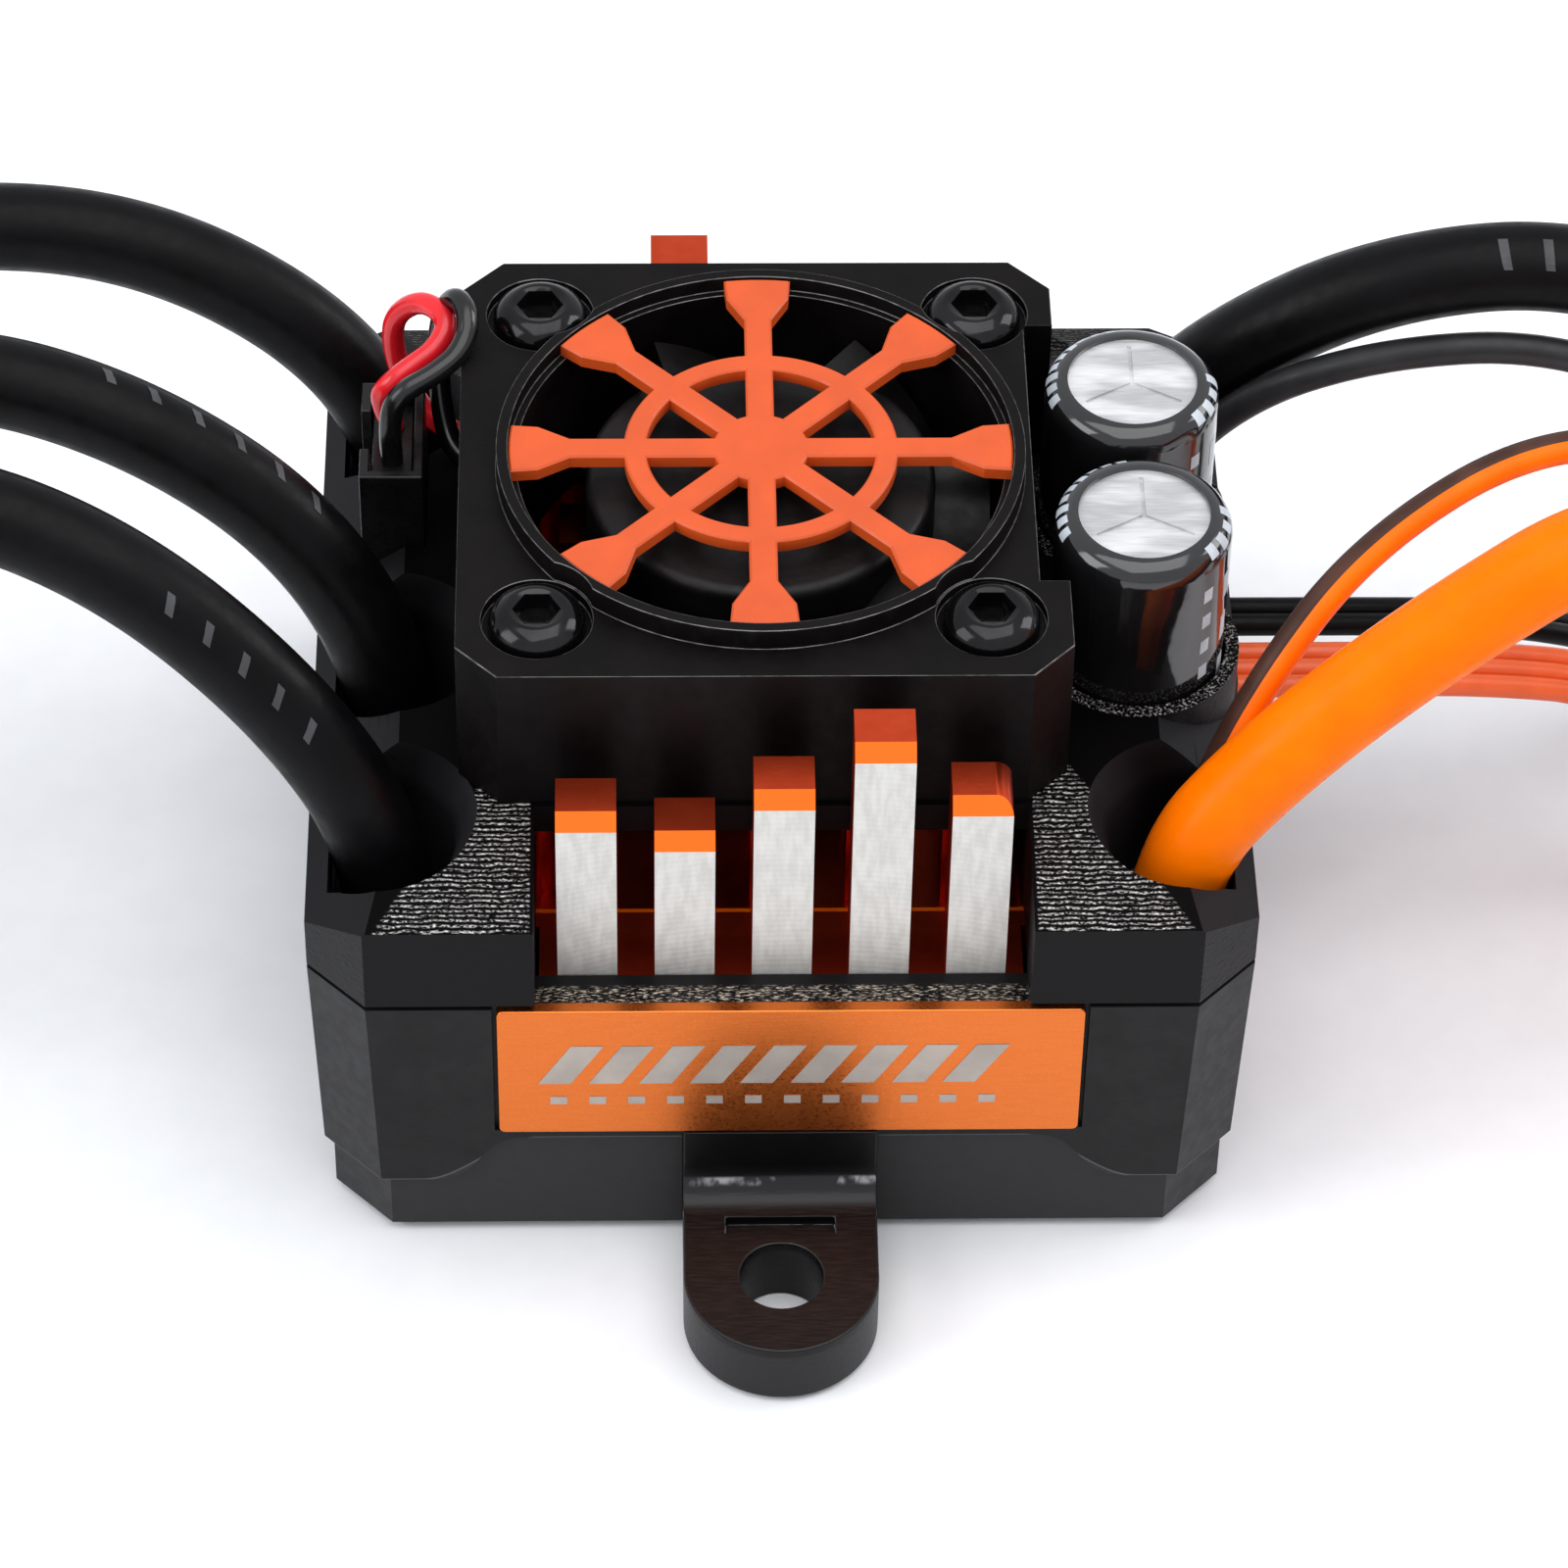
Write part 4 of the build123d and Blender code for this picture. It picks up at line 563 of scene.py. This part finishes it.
FAN_ROUTES = {
    "fan_lead_red": [
        (-21.15, 8.7, 29.95), (-21.9, 8.3, 32.4), (-21.3, 8.2, 33.6), (-20.0, 8.9, 34.3), (-18.6, 9.7, 34.9),
        (-17.9, 11.0, 35.8), (-19.4, 12.9, 35.7), (-21.1, 13.7, 33.9), (-21.3, 14.0, 31.2),
        (-20.6, 13.6, 28.6), (-18.6, 11.6, 26.9), (-15.6, 10.4, 26.9)],
    "fan_lead_black": [
        (-21.15, 6.0, 29.95), (-21.3, 6.0, 33.0), (-20.6, 6.3, 34.7), (-18.6, 7.2, 35.3),
        (-17.1, 8.7, 35.8), (-16.8, 10.3, 36.9), (-17.6, 11.9, 36.9), (-18.4, 12.8, 34.8),
        (-18.7, 12.8, 32.2), (-18.6, 11.2, 29.2), (-17.8, 8.9, 27.2), (-15.6, 8.1, 26.9)],
}
for name, finish, slot in (("fan_lead_red", "lead_red", "lead_red"),
                           ("fan_lead_black", "fan_black", "lead_black")):
    curve = smooth_curve(name, in_metres(FAN_ROUTES[name]), FAN_LEAD_D * MM)
    add_piece(name + "_run", curve, finish, replaced=[name])


def length_of(line):
    return sum((after - before).length for before, after in zip(line, line[1:]))


def round_lead(name, finish):
    points = in_metres(ROUTES[name])
    lead = add_piece(name + "_run", smooth_curve(name, points, LEAD_D * MM), finish,
                     replaced=[name])
    length_of(line_of(points))


def strand_lead(name, strands, radius, finish):
    points = in_metres(ROUTES[name])
    line = line_of(points)
    mesh = strand_mesh(name, line, strands, radius)
    lead = add_piece(name + "_run", mesh, finish, replaced=[name])


for end in ("front", "middle", "rear"):
    round_lead(f"motor_lead_{end}", "lead_black")

round_lead("battery_lead_black", "lead_black")
round_lead("battery_lead_orange", "lead_orange")
thin_radius = THIN_D / 2 * MM
strand_lead("thin_lead_black", [(0, 0, 1.0, 0)], thin_radius, "thin_black")
# its stripe is a second, thinner tube that stands out of the brown one on its left
strand_lead("thin_lead_orange", [(0, 0, 1.0, 0), (-0.34 * MM, 0.10 * MM, 0.80, 1)], thin_radius,
            ["lead_brown", "stripe_orange"])

# flat ribbons: strands side by side, very slightly into each other
STRAND = 0.66 * MM                                # a strand's radius
STRAND_PITCH = 2 * 0.97 * STRAND
strand_lead("receiver_lead", [((i - 1) * STRAND_PITCH, 0, 1.0, 0) for i in range(3)], STRAND,
            "ribbon_orange")
strand_lead("switch_lead", [((i - 0.5) * STRAND_PITCH, 0, 1.0, 0) for i in range(2)], STRAND,
            "lead_black")

# ---- printed bars on the round leads ------------------------------------------------------------
TICK_TALL, TICK_BACK, TICK_PROUD, TICK_STEPS = 0.48, -0.12, 0.015, 5


def lead_ticks(name, start, count, pitch, angle, wide, slant):
    """Pale printed bars on a round lead: the first is start mm along it, angle is turned from the lead's top
    towards its right side, wide is a bar's sweep in degrees and slant its lean along the lead per step."""
    line = line_of(in_metres(ROUTES[name]))
    reach = [0.0]
    for before, after in zip(line, line[1:]):
        reach.append(reach[-1] + (after - before).length / MM)

    def on_lead(along, turn, out):
        i = max(k for k in range(len(reach) - 1) if reach[k] <= along)
        place = line[i].lerp(line[i + 1], (along - reach[i]) / (reach[i + 1] - reach[i]))
        ahead = (line[i + 1] - line[i]).normalized()
        side = ahead.cross(Vector((0, 0, 1))).normalized()
        top = side.cross(ahead)
        return place + (top * cos(radians(turn)) + side * sin(radians(turn))) * (LEAD_D / 2 + out) * MM

    build = bmesh.new()
    for n in range(count):
        inner, outer = [[[build.verts.new(on_lead(start + n * pitch + slant * j + TICK_TALL * i,
                                                  angle + wide * (j / TICK_STEPS - 0.5), out))
                          for i in range(2)] for j in range(TICK_STEPS + 1)]
                        for out in (TICK_BACK, TICK_PROUD)]
        for j in range(TICK_STEPS):
            for grid in (inner, outer):
                build.faces.new((grid[j][0], grid[j][1], grid[j + 1][1], grid[j + 1][0]))
            for i in range(2):
                build.faces.new((inner[j][i], inner[j + 1][i], outer[j + 1][i], outer[j][i]))
        for j in (0, TICK_STEPS):
            build.faces.new((inner[j][0], inner[j][1], outer[j][1], outer[j][0]))
    add_piece(name + "_print", mesh_from(name + "_print", build), "lead_print")


lead_ticks("motor_lead_front", 19.0, 5, 2.4, -38.0, wide=24.0, slant=0.1)
lead_ticks("motor_lead_middle", 21.0, 6, 2.4, 8.0, wide=22.0, slant=0.1)
lead_ticks("battery_lead_black", 35.0, 4, 2.2, 33.0, wide=42.0, slant=0.06)

# ---- screws: button heads with a hexagon socket -------------------------------------------------
FAN_X, SCREW_AT = -0.95, 12.0                     # the fan's middle, and the screws' distance from it
HEAD_PROFILE = [(2.4, 34.7), (2.6, 34.85), (2.6, 35.1), (2.52, 35.42), (2.32, 35.72),
                (2.02, 35.97), (1.72, 36.12), (1.52, 36.17), (1.42, 36.13)]
SOCKET_PROFILE = [(1.29, 36.06), (1.24, 35.9), (1.24, 35.05)]
SOCKET_DIMPLE, SOCKET_FLOOR, AROUND = 0.5, 35.0, 36


def closed_lathe(build, centre, rings):
    """Skin between rings of equal count; the first and the last one are closed by a face."""
    skin = [[build.verts.new(Vector((centre[0] + x, centre[1] + y, z)) * MM) for x, y, z in ring]
            for ring in rings]
    for low, high in zip(skin, skin[1:]):
        for k in range(len(low)):
            after = (k + 1) % len(low)
            build.faces.new((low[k], low[after], high[after], high[k])).smooth = True
    build.faces.new(skin[0][::-1])
    build.faces.new(skin[-1])


def circle_ring(radius, z, count):
    return [(radius * cos(2 * pi * k / count), radius * sin(2 * pi * k / count), z) for k in range(count)]


def hexagon_ring(radius, z, count):
    """Points round a hexagon, at the same angles as a circle's."""
    ring = []
    for k in range(count):
        angle = 2 * pi * k / count
        inner = (angle % (pi / 3)) - pi / 6
        reach = radius * cos(pi / 6) / cos(inner)
        ring.append((reach * cos(angle), reach * sin(angle), z))
    return ring


heads = bmesh.new()
for side_x in (-1, 1):
    for side_y in (-1, 1):
        rings = [circle_ring(radius, z, AROUND) for radius, z in HEAD_PROFILE]
        rings += [hexagon_ring(radius, z, AROUND) for radius, z in SOCKET_PROFILE]
        rings += [circle_ring(SOCKET_DIMPLE, SOCKET_FLOOR, AROUND)]
        closed_lathe(heads, (FAN_X + side_x * SCREW_AT, side_y * SCREW_AT), rings)
screws = add_piece("fan_screw_heads", mesh_from("fan_screw_heads", heads), "screw",
                   replaced=["fan_screws"])
sharp = screws.modifiers.new("sharp", "EDGE_SPLIT")
sharp.split_angle = radians(50)

# ---- badges: the plates, and on them plain slanted bars over a row of dashes --------------------
BADGE_FACE, BADGE_CENTRE_X, MARK_PROUD, MARK_SUNK = 24.95, 0.45, 0.03, 0.04
MARKS_X = -0.9                                    # the rows' middle, against the badge's
BARS, BAR_PITCH, BAR_WIDE, BAR_LOW, BAR_HIGH, BAR_LEAN = 9, 2.72, 1.75, 13.0, 16.0, 0.9
DASHES, DASH_PITCH, DASH_WIDE, DASH_LOW, DASH_HIGH = 12, 2.1, 0.9, 11.35, 11.95


def prism(build, outline, side, back=BADGE_FACE - MARK_SUNK, front=BADGE_FACE + MARK_PROUD):
    """A thin plate standing on a badge's face; outline in the face, x to the reader's right."""
    rings = []
    for depth in (back, front):
        rings.append([build.verts.new(Vector((-side * (x + BADGE_CENTRE_X), side * depth, z)) * MM)
                      for x, z in outline])
    low, high = rings
    for k in range(len(low)):
        build.faces.new((low[k], low[(k + 1) % len(low)], high[(k + 1) % len(low)], high[k]))
    build.faces.new(low[::-1])
    build.faces.new(high)


# the plates, with tighter corners than the CAD's
PLATE_BACK, PLATE_LOW, PLATE_HIGH, PLATE_HALF = 24.2, 9.0, 18.7, 15.7
PLATE_CORNER, PLATE_EDGE, CORNER_STEPS = 0.35, 0.08, 4


def rounded_outline(half, low, high, corner):
    points = []
    for x, z, start in ((half, low, -90), (half, high, 0), (-half, high, 90), (-half, low, 180)):
        middle = (x - corner * (1 if x > 0 else -1), z + corner * (1 if z == low else -1))
        turns = [radians(start + 90 * k / CORNER_STEPS) for k in range(CORNER_STEPS + 1)]
        points += [(middle[0] + corner * cos(turn), middle[1] + corner * sin(turn)) for turn in turns]
    return points


for end, side in (("front", -1), ("rear", 1)):
    plate = bmesh.new()
    prism(plate, rounded_outline(PLATE_HALF, PLATE_LOW, PLATE_HIGH, PLATE_CORNER), side,
          PLATE_BACK, BADGE_FACE)
    piece = add_piece(f"badge_plate_{end}", mesh_from(f"badge_plate_{end}", plate), "badge",
                      replaced=[f"badge_{end}"])
    round_edges(piece, PLATE_EDGE)


def row_of_marks(build, side, count, pitch, wide, low, high, lean=0.0):
    for i in range(count):
        x = (i - (count - 1) / 2) * pitch + MARKS_X
        prism(build, [(x - wide / 2 - lean, low), (x + wide / 2 - lean, low),
                      (x + wide / 2 + lean, high), (x - wide / 2 + lean, high)], side)


for end, side in (("front", -1), ("rear", 1)):
    marks = bmesh.new()
    row_of_marks(marks, side, BARS, BAR_PITCH, BAR_WIDE, BAR_LOW, BAR_HIGH, BAR_LEAN)
    row_of_marks(marks, side, DASHES, DASH_PITCH, DASH_WIDE, DASH_LOW, DASH_HIGH)
    add_piece(f"badge_marks_{end}", mesh_from(f"badge_marks_{end}", marks), "mark")

# ---- printed ticks on the capacitors' sleeves ---------------------------------------------------
CAPACITORS = {"front": (19.55, -4.4), "rear": (19.5, 6.1)}
SLEEVE_R, SHOULDER_R, SLEEVE_TOP, PRINT_SUNK, PRINT_PROUD = 4.8, 1.2, 35.7, 0.05, 0.015


def sleeve_point(centre, angle, along, out):
    """A point over the sleeve's skin: along runs from 0 at the side to 90 degrees at the top rim, and
    below 0 it is millimetres down the side."""
    turn = radians(max(along, 0.0))
    radius = SLEEVE_R - SHOULDER_R + (SHOULDER_R + out) * cos(turn)
    z = SLEEVE_TOP - SHOULDER_R + (SHOULDER_R + out) * sin(turn) + min(along, 0.0)
    angle = radians(angle)
    return Vector((centre[0] + radius * cos(angle), centre[1] + radius * sin(angle), z)) * MM


def patch(build, centre, start, end, low, high, steps=4):
    """A thin curved plate on the sleeve between two angles and two heights."""
    def sheet(out):
        """The patch's points at one distance from the skin."""
        return [[build.verts.new(sleeve_point(centre, start + (end - start) * i / steps,
                                              low + (high - low) * j / steps, out))
                 for i in range(steps + 1)] for j in range(steps + 1)]
    inner, outer = sheet(-PRINT_SUNK), sheet(PRINT_PROUD)
    for grid in (inner, outer):
        for j in range(steps):
            for i in range(steps):
                build.faces.new((grid[j][i], grid[j][i + 1], grid[j + 1][i + 1], grid[j + 1][i]))
    for i in range(steps):
        for a, b in (((0, i), (0, i + 1)), ((steps, i), (steps, i + 1)), ((i, 0), (i + 1, 0)),
                     ((i, steps), (i + 1, steps))):
            build.faces.new((inner[a[0]][a[1]], inner[b[0]][b[1]], outer[b[0]][b[1]], outer[a[0]][a[1]]))


# ticks round the rim: the angle where each starts, and its sweep
TICKS = [(100 + 11.5 * i, 7.5) for i in range(9)] + [(-42 + 14 * i, 8.5) for i in range(4)]
# columns of bars down the side: start and end angle, how many, the first one's top, their pitch and height
COLUMNS = [(-49, -41, 5, -1.3, 1.9, 0.9), (-26, -17, 3, -1.6, 3.1, 1.7)]
for end, centre in CAPACITORS.items():
    ticks = bmesh.new()
    for i, (angle, wide) in enumerate(TICKS):
        patch(ticks, centre, angle, angle + wide, 22 + 6 * (i % 2), 66 - 4 * (i % 3))
    for start, end_angle, count, first, pitch, tall in COLUMNS:
        for i in range(count):
            top = first - pitch * i
            patch(ticks, centre, start, end_angle, top - tall, top, steps=3)
    add_piece(f"sleeve_print_{end}", mesh_from(f"sleeve_print_{end}", ticks), "print")

# ---- camera, at the picture's own angle ---------------------------------------------------------
PITCH, YAW, ROLL = radians(46.006), radians(-1.89), radians(1.108)
DISTANCE, ASIDE, ABOVE = 355.57 * MM, 0.563 * MM, -4.387 * MM
AIM = Vector((0, 0, 16.6 * MM))
FOCAL_LENGTH, SENSOR = 145.35, 36.0
back = Vector((sin(YAW) * cos(PITCH), -cos(YAW) * cos(PITCH), sin(PITCH)))
level = (-back).cross(Vector((0, 0, 1))).normalized()
upward = level.cross(-back)
right = level * cos(ROLL) + upward * sin(ROLL)
top = upward * cos(ROLL) - level * sin(ROLL)
camera_data = bpy.data.cameras.new("camera")
camera_data.sensor_width, camera_data.lens = SENSOR, FOCAL_LENGTH
camera_data.clip_start, camera_data.clip_end = 0.01, 20.0
camera = bpy.data.objects.new("camera", camera_data)
bpy.context.scene.collection.objects.link(camera)
place = AIM + back * DISTANCE + right * ASIDE + top * ABOVE
camera.matrix_world = Matrix.Translation(place) @ Matrix((right, top, back)).transposed().to_4x4()
bpy.context.scene.camera = camera

# ---- floor, light -------------------------------------------------------------------------------
LIT_PLACE = Vector((0, 0, 15 * MM))
FLOOR_HALF, FLOOR_GAP = 3.0, 0.02 * MM
floor_mesh = bpy.data.meshes.new("floor")
floor_mesh.from_pydata([(-FLOOR_HALF, -FLOOR_HALF, 0), (FLOOR_HALF, -FLOOR_HALF, 0),
                        (FLOOR_HALF, FLOOR_HALF, 0), (-FLOOR_HALF, FLOOR_HALF, 0)], [], [(0, 1, 2, 3)])
floor = bpy.data.objects.new("floor", floor_mesh)
floor.location.z = -FLOOR_GAP
bpy.context.scene.collection.objects.link(floor)
sweep = plain("floor_sweep", rgb(0.86, 0.87, 0.885), 0.55, tint=0.012, grain=1.0, depth=0.01)
floor_mesh.materials.append(sweep.material)


def softbox(name, position, width, height, watts, tone=(1, 1, 1)):
    """A rectangular lamp that looks at the object."""
    light = bpy.data.lights.new(name, "AREA")
    light.shape, light.size, light.size_y = "RECTANGLE", width, height
    light.energy, light.color = watts, tone
    lamp = bpy.data.objects.new(name, light)
    lamp.location = position
    aim = LIT_PLACE - Vector(position)
    lamp.rotation_euler = aim.to_track_quat("-Z", "Y").to_euler()
    bpy.context.scene.collection.objects.link(lamp)


softbox("overhead", (0.05, -0.12, 0.85), 0.9, 0.8, 4.5)
softbox("left", (-0.75, -0.25, 0.45), 0.5, 0.6, 3.3, (0.97, 0.98, 1.0))
softbox("right", (0.8, 0.25, 0.5), 0.4, 0.5, 2.6)

world = bpy.data.worlds.new("studio")
bpy.context.scene.world = world
world.use_nodes = True
background = world.node_tree.nodes["Background"]
background.inputs["Color"].default_value = rgb(0.93, 0.95, 1.0)
background.inputs["Strength"].default_value = 0.84
bpy.context.scene.view_settings.view_transform = "Standard"
